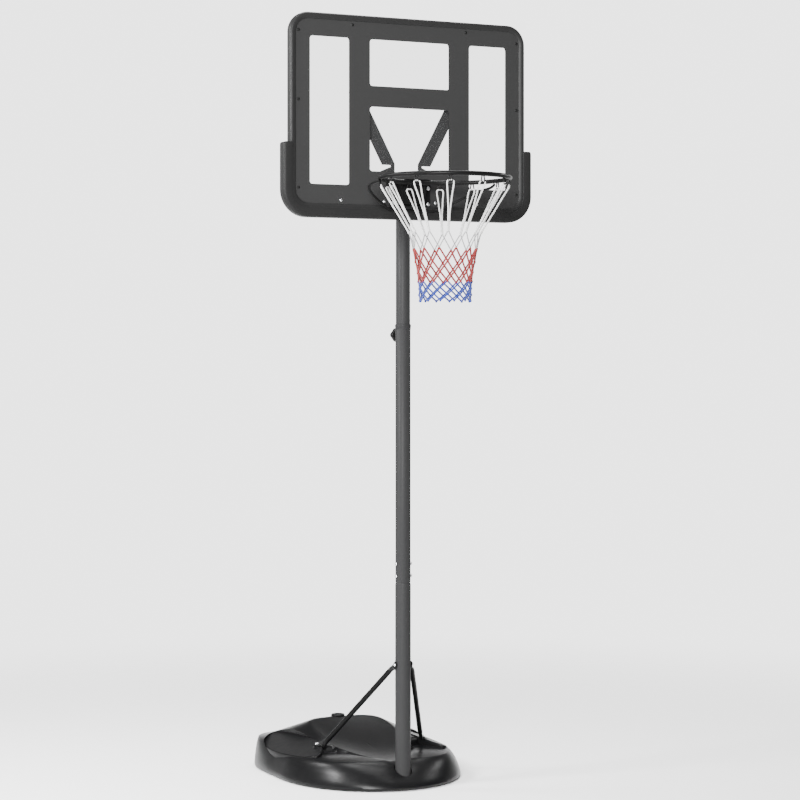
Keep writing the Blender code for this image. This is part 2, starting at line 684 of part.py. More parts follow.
def make_lock():
    """Clamp knob, its screw and the nut that it turns in, along +Y behind the middle tube."""
    wall_y = MIDDLE_RADIUS + GAP
    nut = cylinder("lock_nut", 0.009, wall_y, wall_y + 0.008, "Y", (0, KNOB_Z), 6)
    cut(nut, cylinder("lock_nut_hole", 0.0046, 0.0, 0.06, "Y", (0, KNOB_Z), 16))
    tip_y = UPPER_RADIUS + 0.0005
    flange_y = KNOB_Y - GAP
    profile = [(0.0, tip_y), (0.003, tip_y), (0.004, tip_y + 0.001), (0.004, flange_y - 0.0025),
               (0.0095, flange_y - 0.0025), (0.0095, flange_y), (0.004, flange_y), (0.004, KNOB_Y + 0.010),
               (0.0, KNOB_Y + 0.010)]
    profile = [(radius, -y) for radius, y in profile]
    turned("lock_screw", profile, "steel", (0, 0, KNOB_Z), (math.pi / 2, 0, 0), 16)
    knob = prisms("lock_knob", [knob_outline()], 0, KNOB_THICKNESS, "plastic")
    knob.location = (0, KNOB_Y + KNOB_THICKNESS / 2, KNOB_Z)
    soften = knob.modifiers.new("edge", 'BEVEL')
    soften.width = 0.0025
    soften.segments = 1
    soften.limit_method = 'ANGLE'
    soften.angle_limit = math.radians(50)
    cut(knob, cylinder("knob_bore", 0.0043, 0.0, KNOB_Y + 0.0103, "Y", (0, KNOB_Z), 16))


# Struts

def loft(name, stations, material, sides=14):
    """A closed solid through oval sections: each is (centre, half width vector, half thickness vector)."""
    def build(shape):
        rings = []
        for centre, wide, thick in stations:
            ring = []
            for i in range(sides):
                angle = 2 * math.pi * i / sides
                ring.append(shape.verts.new(Vector(centre) + Vector(wide) * math.cos(angle)
                                            + Vector(thick) * math.sin(angle)))
            rings.append(ring)
        for low, high in zip(rings, rings[1:]):
            for i in range(sides):
                j = (i + 1) % sides
                shape.faces.new((low[i], low[j], high[j], high[i]))
        shape.faces.new(rings[0])
        shape.faces.new(rings[-1])

    part = add_part(name, mesh_from(build, name), material)
    part.data.shade_smooth()
    part.data.set_sharp_from_angle(angle=math.radians(50))
    return part


def make_strut(side, sign):
    """A tube whose ends are pressed flat: the top lies against the pole, the foot lies on the tank."""
    half_tab = TAB_THICKNESS / 2
    top = Vector((sign * (LOWER_RADIUS + GAP + half_tab + 0.0006), 0, STRUT_TOP_Z))
    foot = Vector((sign * STRUT_FOOT[0], STRUT_FOOT[1], FOOT_SEAT_Z + GAP + half_tab))
    bolt = Vector((sign * FOOT_BOLT[0], FOOT_BOLT[1], foot.z))
    along = (foot - top).normalized()
    drop = Vector((0, along.y, along.z)).normalized()
    across_top = Vector((0, drop.z, -drop.y))
    outward = (bolt - foot).normalized()
    across_foot = Vector((outward.y, -outward.x, 0)) * sign
    x_axis = Vector((sign, 0, 0))
    side_axis = along.cross(x_axis).normalized()
    other_axis = side_axis.cross(along).normalized()
    flat_width = 0.0125
    if side_axis.dot(across_top) < 0:
        side_axis, other_axis = -side_axis, -other_axis
    if across_foot.dot(side_axis) < 0:
        across_foot = -across_foot
    up = Vector((0, 0, 1)) if other_axis.z > 0 else Vector((0, 0, -1))
    x_out = x_axis if other_axis.dot(x_axis) > 0 else -x_axis
    stations = [
        (top - 0.0125 * drop, 0.0045 * across_top, half_tab * x_out),
        (top - 0.010 * drop, 0.0090 * across_top, half_tab * x_out),
        (top - 0.004 * drop, flat_width * across_top, half_tab * x_out),
        (top + 0.010 * drop, flat_width * across_top, half_tab * x_out),
        (top + 0.017 * drop + 0.0022 * x_axis, flat_width * across_top, 1.3 * half_tab * x_out),
        (top + 0.036 * along + 0.003 * x_axis, STRUT_RADIUS * side_axis, STRUT_RADIUS * other_axis),
        (foot - 0.030 * along + Vector((0, 0, 0.004)), STRUT_RADIUS * side_axis, STRUT_RADIUS * other_axis),
        (foot - 0.008 * along + Vector((0, 0, 0.0032)), 1.15 * STRUT_RADIUS * side_axis,
         0.6 * STRUT_RADIUS * other_axis),
        (foot + 0.004 * outward + Vector((0, 0, 0.0006)), flat_width * across_foot, 1.2 * half_tab * up),
        (bolt + 0.002 * outward, flat_width * across_foot, half_tab * up),
        (bolt + 0.009 * outward, 0.0095 * across_foot, half_tab * up),
        (bolt + 0.012 * outward, 0.0045 * across_foot, half_tab * up),
    ]
    strut = loft(f"strut_{side}", stations, "black")
    across = (0, STRUT_TOP_Z)
    cut(strut, cylinder(f"strut_top_hole_{side}", BOLT_HOLE, top.x - 0.01, top.x + 0.01, "X", across, 12))
    cut(strut, cylinder(f"strut_foot_hole_{side}", 0.0044, foot.z - 0.01, foot.z + 0.01,
                        across=(bolt.x, bolt.y), sides=12))
    seat = FOOT_SEAT_Z + TAB_THICKNESS + 2 * GAP
    profile = [(0.0, 0.0078), (0.0038, 0.0072), (0.0066, 0.0046), (0.0076, 0.0), (0.004, 0.0),
               (0.004, -0.032), (0.0, -0.032)]
    turned(f"strut_foot_bolt_{side}", profile, "steel", (bolt.x, bolt.y, seat), sides=12)


def make_struts():
    for side, sign in (("left", -1), ("right", 1)):
        make_strut(side, sign)
    seat = LOWER_RADIUS + TAB_THICKNESS + 0.0006 + 2 * GAP
    through_bolt("strut", "top", seat, STRUT_TOP_Z)


# Rear bracket

def arm_outline():
    """Right-hand sheet arm, in (x, z): upright lower part, outer tail and the splayed arm."""
    corner = Vector((0.048, 2.335))
    bolt = Vector(ARM_BOLT_SPOT)
    root = Vector((0.0722, 2.329))
    direction = (bolt - root).normalized()
    across = Vector((direction.y, -direction.x))
    half = 0.0242
    tip = [tuple(bolt + half * (across * math.cos(a) + direction * math.sin(a)))
           for a in [math.radians(30 * i) for i in range(7)]]
    return [(0.048, BRACKET_BOTTOM_Z + 0.004), tuple(corner)][::-1] + [
        (0.090, BRACKET_BOTTOM_Z + 0.004), (0.100, 2.168), (0.296, 2.172), (0.296, 2.208), (0.130, 2.214),
        (0.106, 2.305), (0.064, 2.3225), (0.064, 2.329), (0.0995, 2.329)] + tip


def make_rear_bracket():
    arm_y = FRAME_BACK_Y + GAP + SHEET_METAL / 2
    saddle_y = arm_y + SHEET_METAL + GAP
    holes = [(x, z, BOLT_HOLE) for x, z in (*RIM_BOLT_SPOTS, *BOARD_BOLT_SPOTS, ARM_BOLT_SPOT)]
    for side, sign in (("left", -1), ("right", 1)):
        outline = [(sign * x, z) for x, z in arm_outline()]
        rings = [circle((sign * x, z), radius) for x, z, radius in holes]
        plate(f"rear_arm_{side}", outline, rings, arm_y, SHEET_METAL, "powder")
        seat = arm_y + SHEET_METAL / 2 + GAP
        bolt = [(0.0, 0.005), (0.004, 0.0045), (0.0062, 0.002), (0.0065, 0.0), (BOLT_SHANK, 0.0),
                (BOLT_SHANK, -0.016), (0.0, -0.016)]
        turned(f"arm_bolt_{side}", bolt, "steel", (sign * ARM_BOLT_SPOT[0], seat, ARM_BOLT_SPOT[1]),
               TURNS["Y"], 12)
    front = saddle_y - SHEET_METAL / 2
    back = front + SHEET_METAL
    inner, deep = 0.0275, 0.0275
    outer = inner + SHEET_METAL
    omega = [(-0.12, front), (-inner, front), (-inner, deep), (inner, deep), (inner, front), (0.12, front),
             (0.12, back), (outer, back), (outer, deep + SHEET_METAL), (-outer, deep + SHEET_METAL),
             (-outer, back), (-0.12, back)]
    saddle = prisms("pole_bracket", [omega], (BRACKET_BOTTOM_Z + BRACKET_TOP_Z) / 2,
                   BRACKET_TOP_Z - BRACKET_BOTTOM_Z, "powder", facing="Z")
    for side, x, z in mirrored((*RIM_BOLT_SPOTS, BOARD_BOLT_SPOTS[0])):
        cut(saddle, cylinder(f"saddle_hole_{side}_{z}", BOLT_HOLE, -0.04, -0.01, "Y", (x, z), 8))
    for where, height in zip(("lower", "upper"), BRACKET_BOLT_HEIGHTS):
        cut(saddle, cylinder(f"cheek_hole_{where}", BOLT_HOLE, -0.06, 0.06, "X", (0, height), 8))
        through_bolt("bracket", where, outer + GAP, height)


# Board

def window_outlines(grow):
    """The four windows, each moved out by grow."""
    half = MIDDLE_WINDOW_HALF
    side_low, side_high = SIDE_WINDOW
    boxes = [(-side_high, -side_low, SIDE_WINDOW_BOTTOM_Z, WINDOW_TOP_Z),
             (side_low, side_high, SIDE_WINDOW_BOTTOM_Z, WINDOW_TOP_Z),
             (-half, half, UPPER_WINDOW_BOTTOM_Z, WINDOW_TOP_Z),
             (-half, half, TARGET_BOTTOM_Z, TARGET_TOP_Z)]
    return [rounded_box(left - grow, right + grow, bottom - grow, top + grow, WINDOW_CORNER + grow, 3)
            for left, right, bottom, top in boxes]


def pocket_outlines():
    """The frame's pockets, between its ribs and bosses."""
    boxes = list(MIDDLE_POCKETS)
    for left, right, bottom, top in SIDE_POCKETS:
        boxes += [(left, right, bottom, top), (-right, -left, bottom, top)]
    return [[(left, bottom), (right, bottom), (right, top), (left, top)]
            for left, right, bottom, top in boxes]


def board_box(inset, corner, steps=5):
    """The frame's rounded outline, moved in by inset."""
    return rounded_box(inset - FRAME_HALF_WIDTH, FRAME_HALF_WIDTH - inset, FRAME_BOTTOM_Z + inset,
                       FRAME_TOP_Z - inset, corner, steps)


def framed(name, profile):
    """A closed ring around the board: each (inset, y) point of its section follows the outline."""
    def build(shape):
        rings = []
        for inset, y in profile:
            outline = board_box(inset, FRAME_CORNER - inset)
            rings.append([shape.verts.new((x, y, z)) for x, z in outline])
        for here, there in zip(rings, rings[1:] + rings[:1]):
            for i in range(len(here)):
                j = (i + 1) % len(here)
                shape.faces.new((here[i], here[j], there[j], there[i]))

    return add_part(name, mesh_from(build, name), "rim")


def bolt_circles(spots, radius, sides=8):
    return [circle((x, z), radius, sides) for _, x, z in mirrored(spots)]


def make_board():
    facing_back = FACE_Y + FACING_THICKNESS
    sheet_front = facing_back + GAP
    sheet_back = sheet_front + SHEET_THICKNESS
    frame_front = sheet_back + GAP
    inset = RIM_WIDTH + GAP
    corner = FRAME_CORNER - RIM_WIDTH
    through = (*BOARD_BOLT_SPOTS, *RIM_BOLT_SPOTS)
    holes = bolt_circles(through, BOLT_HOLE) + bolt_circles(SCREW_SPOTS, 0.0025)
    plate("board_facing", board_box(inset, corner), window_outlines(0.0) + holes,
          (FACE_Y + facing_back) / 2, FACING_THICKNESS, "facing")
    plate("board_sheet", board_box(inset, corner), holes, (sheet_front + sheet_back) / 2, SHEET_THICKNESS,
          "clear")
    pilots = bolt_circles(through, BOLT_HOLE) + bolt_circles((ARM_BOLT_SPOT,), BOLT_HOLE)
    openings = window_outlines(FRAME_SETBACK) + pilots
    frame = plate("board_frame", board_box(0.008, FRAME_CORNER - 0.008), openings,
                  (frame_front + FRAME_BACK_Y) / 2, FRAME_BACK_Y - frame_front, "rim")
    for side, x, z in mirrored(SCREW_SPOTS):
        name = f"pilot_{side}_{x}_{z}"
        cut(frame, cylinder(name, 0.0025, frame_front - 0.001, frame_front + 0.014, "Y", (x, z), 8))
    pocket_floor = frame_front + FRAME_SKIN
    cut(frame, prisms("frame_pockets", pocket_outlines(), pocket_floor / 2, -pocket_floor, "rim"))
    join(frame, framed("frame_rim", RIM_PROFILE))
    cut(frame, framed("rim_groove", GROOVE_PROFILE))
    face = FACE_Y - GAP
    for i, (side, x, z) in enumerate(mirrored(SCREW_SPOTS)):
        row = ("top", "upper", "middle", "lower")[i // 2]
        dome_bolt(f"panel_screw_{row}_{side}", face, "Y", (x, z), 0.016, 0.0021, 0.0058, 0.0032, "plastic")
    arm_back = FRAME_BACK_Y + GAP + SHEET_METAL
    for i, (side, x, z) in enumerate(mirrored(BOARD_BOLT_SPOTS)):
        place = ("inner", "outer")[i // 2]
        stack = (arm_back + GAP if place == "outer" else arm_back + SHEET_METAL + 2 * GAP) - face
        nut = (stack, stack + NUT_HEIGHT, 0.0062)
        dome_bolt(f"board_bolt_{place}_{side}", face, "Y", (x, z), stack + BOLT_TAIL, BOLT_SHANK, 0.0062,
                  0.0042, nut=nut)


def make_guard():
    """U-shaped guard: a front flange and a thick outer web around the frame's lower third."""
    corner = GUARD_CORNER
    wide, low, top = GUARD_HALF_WIDTH, GUARD_BOTTOM_Z, GUARD_TOP_Z
    tip = 0.009
    outer = arc((wide - tip, top - tip), tip, 90, 0, 3)
    outer += arc((wide - corner, low + corner), corner, 0, -90, 8)
    outer += [(-x, z) for x, z in outer[::-1]]
    reach = FRAME_HALF_WIDTH - GUARD_LIP
    inner_corner = FRAME_CORNER - GUARD_LIP
    bottom = FRAME_BOTTOM_Z + GUARD_LIP
    inner = arc((inner_corner - reach, bottom + inner_corner), inner_corner, 180, 270, 6)
    inner = [(-reach, top), *inner]
    inner += [(-x, z) for x, z in inner[::-1]]
    back = FRAME_BACK_Y + 0.001
    guard = prisms("board_guard", [outer + inner], (GUARD_FRONT_Y + back) / 2, back - GUARD_FRONT_Y, "rim")
    pocket_front = RIM_FRONT_Y - GAP
    pocket = prisms("guard_pocket", [board_box(-GAP, FRAME_CORNER)], (pocket_front + 0.02) / 2,
                   0.02 - pocket_front, "rim")
    cut(guard, pocket)


# Rim and net

def on_ring(angle, radius, z):
    return radius * math.cos(angle), RING_Y + radius * math.sin(angle), z


def make_ring():
    def build(shape):
        major, minor = 48, 8
        rows = []
        for i in range(major):
            a = 2 * math.pi * i / major
            section = circle((RING_RADIUS, RING_Z), RING_ROD, minor)
            rows.append([shape.verts.new(on_ring(a, radius, z)) for radius, z in section])
        for i in range(major):
            here, there = rows[i], rows[(i + 1) % major]
            for j in range(minor):
                k = (j + 1) % minor
                shape.faces.new((here[j], there[j], there[k], here[k]))

    ring = add_part("rim_ring", mesh_from(build, "rim_ring"), "black")
    start_z = RING_Z - 0.6 * RING_ROD
    low_z = RING_Z - RING_ROD - HOOK_DROP
    for i in range(HOOK_COUNT):
        angle = 2 * math.pi * i / HOOK_COUNT + HOOK_PHASE
        tangent = Vector((-math.sin(angle), math.cos(angle), 0))
        centre = Vector(on_ring(angle, RING_RADIUS, 0))
        shape = [(0.6, start_z), (1.0, low_z + 0.010), (0.5, low_z), (-0.5, low_z), (-1.0, low_z + 0.010),
                 (-0.6, start_z)]
        points = [centre + tangent * HOOK_HALF_WIDTH * side + Vector((0, 0, z)) for side, z in shape]
        join(ring, rod(f"hook_{i}", points, HOOK_WIRE, "black", resolution=0))
    ring.data.shade_smooth()


def make_mount():
    """Back plate, a folded sheet box that narrows downwards, and a top plate over the ring."""
    back = FACE_Y - GAP
    front = back - MOUNT_PLATE
    top_low = RING_Z + RING_ROD + GAP
    top_high = top_low + MOUNT_PLATE
    outline = rounded_box(-MOUNT_HALF_WIDTH, MOUNT_HALF_WIDTH, MOUNT_BOTTOM_Z, top_high, 0.004, 2)
    holes = bolt_circles(RIM_BOLT_SPOTS, 0.0042)
    mount = plate("rim_mount", outline, holes, (front + back) / 2, MOUNT_PLATE, "black")

    def wedge(name, half, drop, top, shrink):
        side = [(front + 0.001, BOX_BOTTOM_Z + 0.019 - drop), (-0.0672, BOX_BOTTOM_Z - drop),
                (-0.0720 + shrink, BOX_BOTTOM_Z - drop), (-0.1080 + shrink, top), (front + 0.001, top)]

        def build(shape):
            left = [shape.verts.new((-half, y, z)) for y, z in side]
            right = [shape.verts.new((half, y, z)) for y, z in side]
            shape.faces.new(left)
            shape.faces.new(right)
            for i in range(len(side)):
                j = (i + 1) % len(side)
                shape.faces.new((left[i], left[j], right[j], right[i]))

        return add_part(name, mesh_from(build, name), "black")

    shell = wedge("mount_box", BOX_HALF_WIDTH, 0.0, top_low + 0.001, 0.0)
    cut(shell, wedge("mount_room", BOX_HALF_WIDTH - SHEET_METAL, 0.009, top_low, SHEET_METAL))
    join(mount, shell)
    shelf = box("mount_top", (-BOX_HALF_WIDTH, -0.131, top_low), (BOX_HALF_WIDTH, front + 0.001, top_high))
    join(mount, shelf)
    bolt_seat = front - GAP
    nut_start = (FRAME_BACK_Y + 3 * GAP + 2 * SHEET_METAL) - bolt_seat
    for i, (side, x, z) in enumerate(mirrored(RIM_BOLT_SPOTS)):
        row = ("upper", "lower")[i // 2]
        nut = (nut_start, nut_start + NUT_HEIGHT, 0.0066)
        dome_bolt(f"rim_bolt_{row}_{side}", bolt_seat, "Y", (x, z), nut_start + BOLT_TAIL, BOLT_SHANK,
                  0.0078, 0.005, nut=nut)


def make_brace():
    """One rod from the ring's left side, under the mount, to its right side."""
    right = [(0.0, -0.0765, 2.1590), (0.080, -0.0785, 2.1600), (0.120, -0.095, 2.174),
             (0.160, -0.120, 2.191), (0.200, -0.152, 2.214), (0.230, -0.200, 2.231),
             (0.2395, -0.250, 2.2390), (0.2306, -0.296, 2.2461)]
    left = [(-x, y, z) for x, y, z in right[:0:-1]]
    rod("rim_brace", smooth_through(left + right, 2), BRACE_ROD, "black", resolution=2)


def make_net():
    outer = [(radius, height) for height, radius in NET_PROFILE]
    inner = [(radius - NET_THICKNESS, height) for radius, height in outer[::-1]]
    turned("net", outer + inner, "net", (0, RING_Y, 0), sides=28, closed=True)


make_tank()
make_filler_cap()
make_wheels()
make_pole()
make_lock()
make_struts()
make_rear_bracket()
make_board()
make_guard()
make_ring()
make_mount()
make_brace()
make_net()
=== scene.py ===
"""Looks of the portable basketball hoop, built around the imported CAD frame. Metres, +Z up."""

import math
import random

import bmesh
import bpy
from mathutils import Matrix, Vector


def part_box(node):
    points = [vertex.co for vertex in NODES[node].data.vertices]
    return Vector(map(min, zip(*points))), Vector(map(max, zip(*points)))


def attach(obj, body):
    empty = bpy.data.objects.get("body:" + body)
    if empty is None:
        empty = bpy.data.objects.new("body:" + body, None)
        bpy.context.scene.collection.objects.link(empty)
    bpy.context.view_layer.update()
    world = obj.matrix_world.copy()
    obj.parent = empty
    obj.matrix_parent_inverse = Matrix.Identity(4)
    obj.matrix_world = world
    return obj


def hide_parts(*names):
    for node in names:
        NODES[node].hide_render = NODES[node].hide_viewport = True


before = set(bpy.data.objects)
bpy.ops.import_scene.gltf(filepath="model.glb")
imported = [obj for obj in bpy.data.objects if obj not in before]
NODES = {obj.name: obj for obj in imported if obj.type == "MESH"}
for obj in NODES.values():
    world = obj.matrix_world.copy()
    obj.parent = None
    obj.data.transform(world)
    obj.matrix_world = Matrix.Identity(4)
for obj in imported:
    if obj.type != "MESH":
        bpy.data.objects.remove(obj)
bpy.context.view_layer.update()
LEFT_RIGHT = (("left", -1), ("right", 1))
random.seed(7)

# Camera: azimuth from straight in front, place, lens in millimetres and vertical shift
VIEW_TURN = math.radians(-25.1)
CAMERA_PLACE = (-3.601, -7.661, 1.60)
CAMERA_LENS = 101.7
CAMERA_SHIFT_Y = -0.0488

# Studio: brightness of the lit backdrop behind the object, of the surroundings beside it and of the ceiling
BACKDROP = 3.2
SURROUND = 0.9
CEILING = 0.12
BACKDROP_SPREAD = (0.80, 0.965)  # cosines of the angles from the view where the backdrop starts and is full
CEILING_START = (0.19, 0.33)  # sines of the elevations where the light starts to fade and is at the ceiling's
FLOOR_RADIUS = 5.0
FLOOR_Z = -0.0005
LIGHTS = (("key", (-3.4, -5.6, 3.4), (0, 0, 1.3), (2.0, 2.0), 1300.0),  # (name, place, target, sizes, power)
          ("strip", (-3.3, -3.9, 1.5), (0, 0, 1.5), (0.45, 2.8), 85.0),
          ("top", (0.3, 0.6, 6.0), (0.1, 0.3, 0.0), (3.0, 3.0), 420.0),
          ("left", (-3.9, -0.3, 3.0), (-0.2, 0.1, 0.1), (0.9, 0.9), 420.0),
          ("rear_left", (-2.9, 1.8, 3.75), (-0.2, 0.1, 0.1), (1.0, 1.0), 150.0),
          ("right", (3.8, 0.5, 3.6), (0.1, 0.1, 0.1), (0.9, 0.9), 60.0),
          ("rear", (1.6, 2.8, 4.1), (0, 0, 0.1), (0.7, 0.7), 38.0))

# Tank
CENTRE_Y = 0.34  # where the tank is widest
SHOULDER_INSET = 0.045
SHOULDER_Z = 0.098
REAR_SQUARENESS = 4.2
SPOKES = 240
TOP_RINGS = 64
WALL_PROFILE = ((0.012, 0.0), (0.0085, 0.012), (0.0055, 0.028), (0.003, 0.055), (0.0012, 0.09), (0.0, 0.14),
                (0.0012, 0.21), (0.003, 0.28), (0.006, 0.37), (0.010, 0.47), (0.014, 0.57), (0.018, 0.66),
                (0.023, 0.75), (0.028, 0.83), (0.034, 0.91), (0.040, 0.965), (0.045, 1.0))
FRONT_WIDENING = 2.0
FRONT_SPREAD = 0.45
LOBE_Z = 0.106  # top of the two front lobes, which fall off towards the edge
LOBE_INSET = 0.12
LOBE_FALL = 1.42
DISH_Z = 0.093  # lowest point of the dish, which climbs to the rear and to both sides
DISH_START_Y = 0.02
DISH_CLIMB = 0.285
DISH_CUP = 0.5
CREASE_DEPTH = 0.006  # the crease between lobes and dish curves back from the middle, then runs straight
CREASE_Y = 0.03
CREASE_SLOPE = 0.7
CREASE_BEND = 4.9
CREASE_CURVED_X = 0.165
CREASE_END_SLOPE = 0.4
FLANK_SLOPE = 0.30
REAR_STEEPNESS = 0.27
REAR_RUN = 0.16  # distance over which the raised rear edge comes level with the flanks
WELL_RADIUS = 0.0335
FILLER_Y = 0.610
FILLER_RISE = 0.0050
FILLER_RIBS = 36
REAR_RISE = 0.020
REAR_TIGHTNESS = 0.6
PAD_MIDDLE = (0.26, 0.41)
PAD_OUTLINE = ((0.326, 0.580), (0.300, 0.634), (0.258, 0.671), (0.228, 0.630), (0.208, 0.510), (0.200, 0.400),
               (0.206, 0.310), (0.228, 0.235), (0.266, 0.194), (0.300, 0.236), (0.322, 0.330), (0.336, 0.430),
               (0.336, 0.520))
PAD_Z = 0.1185
PAD_TILT = 0.345
PAD_CLIMB = 0.02
PAD_GROOVE = 0.003
PAD_WALL = 0.030
FOOT_BOLT = (0.223, 0.2975)
FOOT_SEAT_Z = 0.129
FIT = 0.0003  # gap between neighbouring parts

# Pole
TUBE_WALL = 0.0011
POLE_JOINT_Z = 0.768
NECK_RADIUS = 0.0266
DIMPLE_DEPTH = 0.0026
DIMPLE_SPREAD = 0.0085
KNOB_LOBES = 5
KNOB_WAVE = 0.0018

# Struts, from the pole down. TOP_TAB: distance past the bolt, half width, share of the thickness.
# TOP_TUBE: distance down, outward shift, two shares of the radius.
# FOOT_TUBE: distance above the foot, lift, two shares of the radius.
# FOOT_TAB: distance past the bolt, share of the width, share of the thickness.
TOP_TAB = ((-0.0128, 0.0030, 0.8), (-0.0120, 0.0060, 1.0), (-0.0095, 0.0092, 1.0), (-0.005, 0.0118, 1.0),
           (0.0, 0.0125, 1.0), (0.0075, 0.0125, 1.0))
TOP_TUBE = ((0.021, 0.0016, 1.12, 0.62), (0.031, 0.0018, 1.0, 0.93), (0.041, 0.0018, 1.0, 1.0))
FOOT_TUBE = ((0.040, 0.004, 1.0, 1.0), (0.030, 0.004, 1.0, 0.97), (0.018, 0.0038, 1.06, 0.8),
             (0.008, 0.0030, 1.2, 0.52), (0.001, 0.0016, 1.28, 0.30))
FOOT_TAB = ((-0.004, 1.0, 1.0), (0.003, 0.98, 1.0), (0.0075, 0.82, 1.0), (0.0105, 0.56, 1.0),
            (0.0122, 0.25, 0.8))

# Board layout, repeated from the CAD
WINDOW_CORNER = 0.010
MIDDLE_WINDOW_HALF = 0.1626
SIDE_WINDOW = (0.247, 0.403)
WINDOW_TOP_Z = 2.7875
TARGET_TOP_Z = 2.539
TARGET_BOTTOM_Z = 2.301
UPPER_WINDOW_BOTTOM_Z = 2.616
SIDE_WINDOW_BOTTOM_Z = 2.247
FRAME_SETBACK = 0.012
FRAME_SKIN = 0.005
MIDDLE_POCKETS = ((-0.145, 0.145, 2.558, 2.597), (-0.214, 0.214, 2.806, 2.843), (-0.060, 0.060, 2.184, 2.282))
SIDE_POCKETS = ((0.181, 0.229, 2.330, 2.570), (0.181, 0.229, 2.610, 2.792), (0.252, 0.430, 2.806, 2.843),
                (0.421, 0.4405, 2.250, 2.790), (0.122, 0.262, 2.184, 2.226), (0.296, 0.415, 2.184, 2.226))
FRAME_CORNER = 0.075
GUARD_CORNER = 0.100
GUARD_LIP = 0.0096

# Rim and net
RING_ROD = 0.0085
HOOK_COUNT = 12
HOOK_PHASE = math.radians(8.5)
NET_ROWS = ((2.0637, 0.1315), (2.004, 0.1173), (1.956, 0.1068), (1.918, 0.1006), (1.8855, 0.0965),
            (1.861, 0.0950), (1.838, 0.0940), (1.8165, 0.0930))  # (height, radius) of each row of knots
WHITE_ROWS = 1  # rows of cords down to the red ones
RED_ROWS = 4  # rows of cords down to the blue ones
HOOK_WIRE = 0.0024
LOOP_CORD = 0.0028
LOOP_KNOT = 0.0046
KNOT_JITTER = 0.0012
BRACE_ROD = 0.005
# Right-hand half of the brace rod's route, from the mount plate out to the ring
BRACE_HALF = ((0.0, -0.0765, 2.1590), (0.080, -0.0785, 2.1600), (0.120, -0.095, 2.174),
              (0.160, -0.120, 2.191), (0.200, -0.152, 2.214), (0.230, -0.200, 2.231),
              (0.2395, -0.250, 2.2390), (0.2306, -0.296, 2.2461))


# Materials

def shader_of(material):
    return next(node for node in material.node_tree.nodes if node.type == 'BSDF_PRINCIPLED')


def add_node(tree, kind, feed=None, **inputs):
    """A new shader node with these input values, its first input fed from the socket given."""
    made = tree.nodes.new("ShaderNode" + kind)
    for label, value in inputs.items():
        made.inputs[label.replace("_", " ")].default_value = value
    if feed:
        tree.links.new(feed, made.inputs[0])
    return made


def grey(value):
    return (value, value, value)


def surface(name, colour, roughness, metallic=0.0, grain=None, mottle=0.06, scuff=0.06, specular=0.5,
            index=1.5):
    """A Principled material with colour mottling, uneven roughness and, with a grain, fine bumps.

    grain is (size in metres, bump height in metres).
    """
    material = bpy.data.materials.new(name)
    material.use_nodes = True
    tree = material.node_tree
    shader = shader_of(material)
    shader.inputs["Metallic"].default_value = metallic
    shader.inputs["Specular IOR Level"].default_value = specular
    shader.inputs["IOR"].default_value = index
    place = add_node(tree, "TexCoord").outputs["Object"]
    broad = add_node(tree, "TexNoise", place, Scale=9.0, Detail=5.0)
    tint = add_node(tree, "Mix")
    tint.data_type = 'RGBA'
    tint.inputs["A"].default_value = (*[c * (1 - mottle) for c in colour], 1)
    tint.inputs["B"].default_value = (*[min(1.0, c * (1 + mottle)) for c in colour], 1)
    tree.links.new(broad.outputs["Fac"], tint.inputs["Factor"])
    tree.links.new(tint.outputs["Result"], shader.inputs["Base Color"])
    spots = add_node(tree, "TexNoise", place, Scale=38.0, Detail=6.0)
    spread = add_node(tree, "MapRange", spots.outputs["Fac"], To_Min=max(0.02, roughness - scuff),
                      To_Max=min(1.0, roughness + scuff))
    tree.links.new(spread.outputs["Result"], shader.inputs["Roughness"])
    if grain:
        size, height = grain
        fine = add_node(tree, "TexNoise", place, Scale=1 / size, Detail=2.0)
        bump = add_node(tree, "Bump", Strength=0.6, Distance=height)
        tree.links.new(fine.outputs["Fac"], bump.inputs["Height"])
        tree.links.new(bump.outputs["Normal"], shader.inputs["Normal"])
    return material


def clear_sheet():
    """Clear plastic: nearly see-through, dark grey, with a glossy face."""
    material = surface("clear_sheet", (0.05, 0.052, 0.054), 0.06, mottle=0.01, scuff=0.02)
    shader_of(material).inputs["Alpha"].default_value = 0.06
    return material


def cord_material(name, colour):
    """Braided cord: a fine slanted weave in the bumps."""
    material = surface(name, colour, 0.75, grain=(0.0016, 0.0004), mottle=0.10, scuff=0.08, specular=0.25)
    tree = material.node_tree
    place = next(node for node in tree.nodes if node.type == 'TEX_COORD')
    weave = add_node(tree, "TexWave", place.outputs["Object"], Scale=150.0, Distortion=1.5)
    weave.bands_direction = 'DIAGONAL'
    bump = next(node for node in tree.nodes if node.type == 'BUMP')
    tree.links.new(weave.outputs["Fac"], bump.inputs["Height"])
    shader_of(material).inputs["Sheen Weight"].default_value = 0.2
    return material


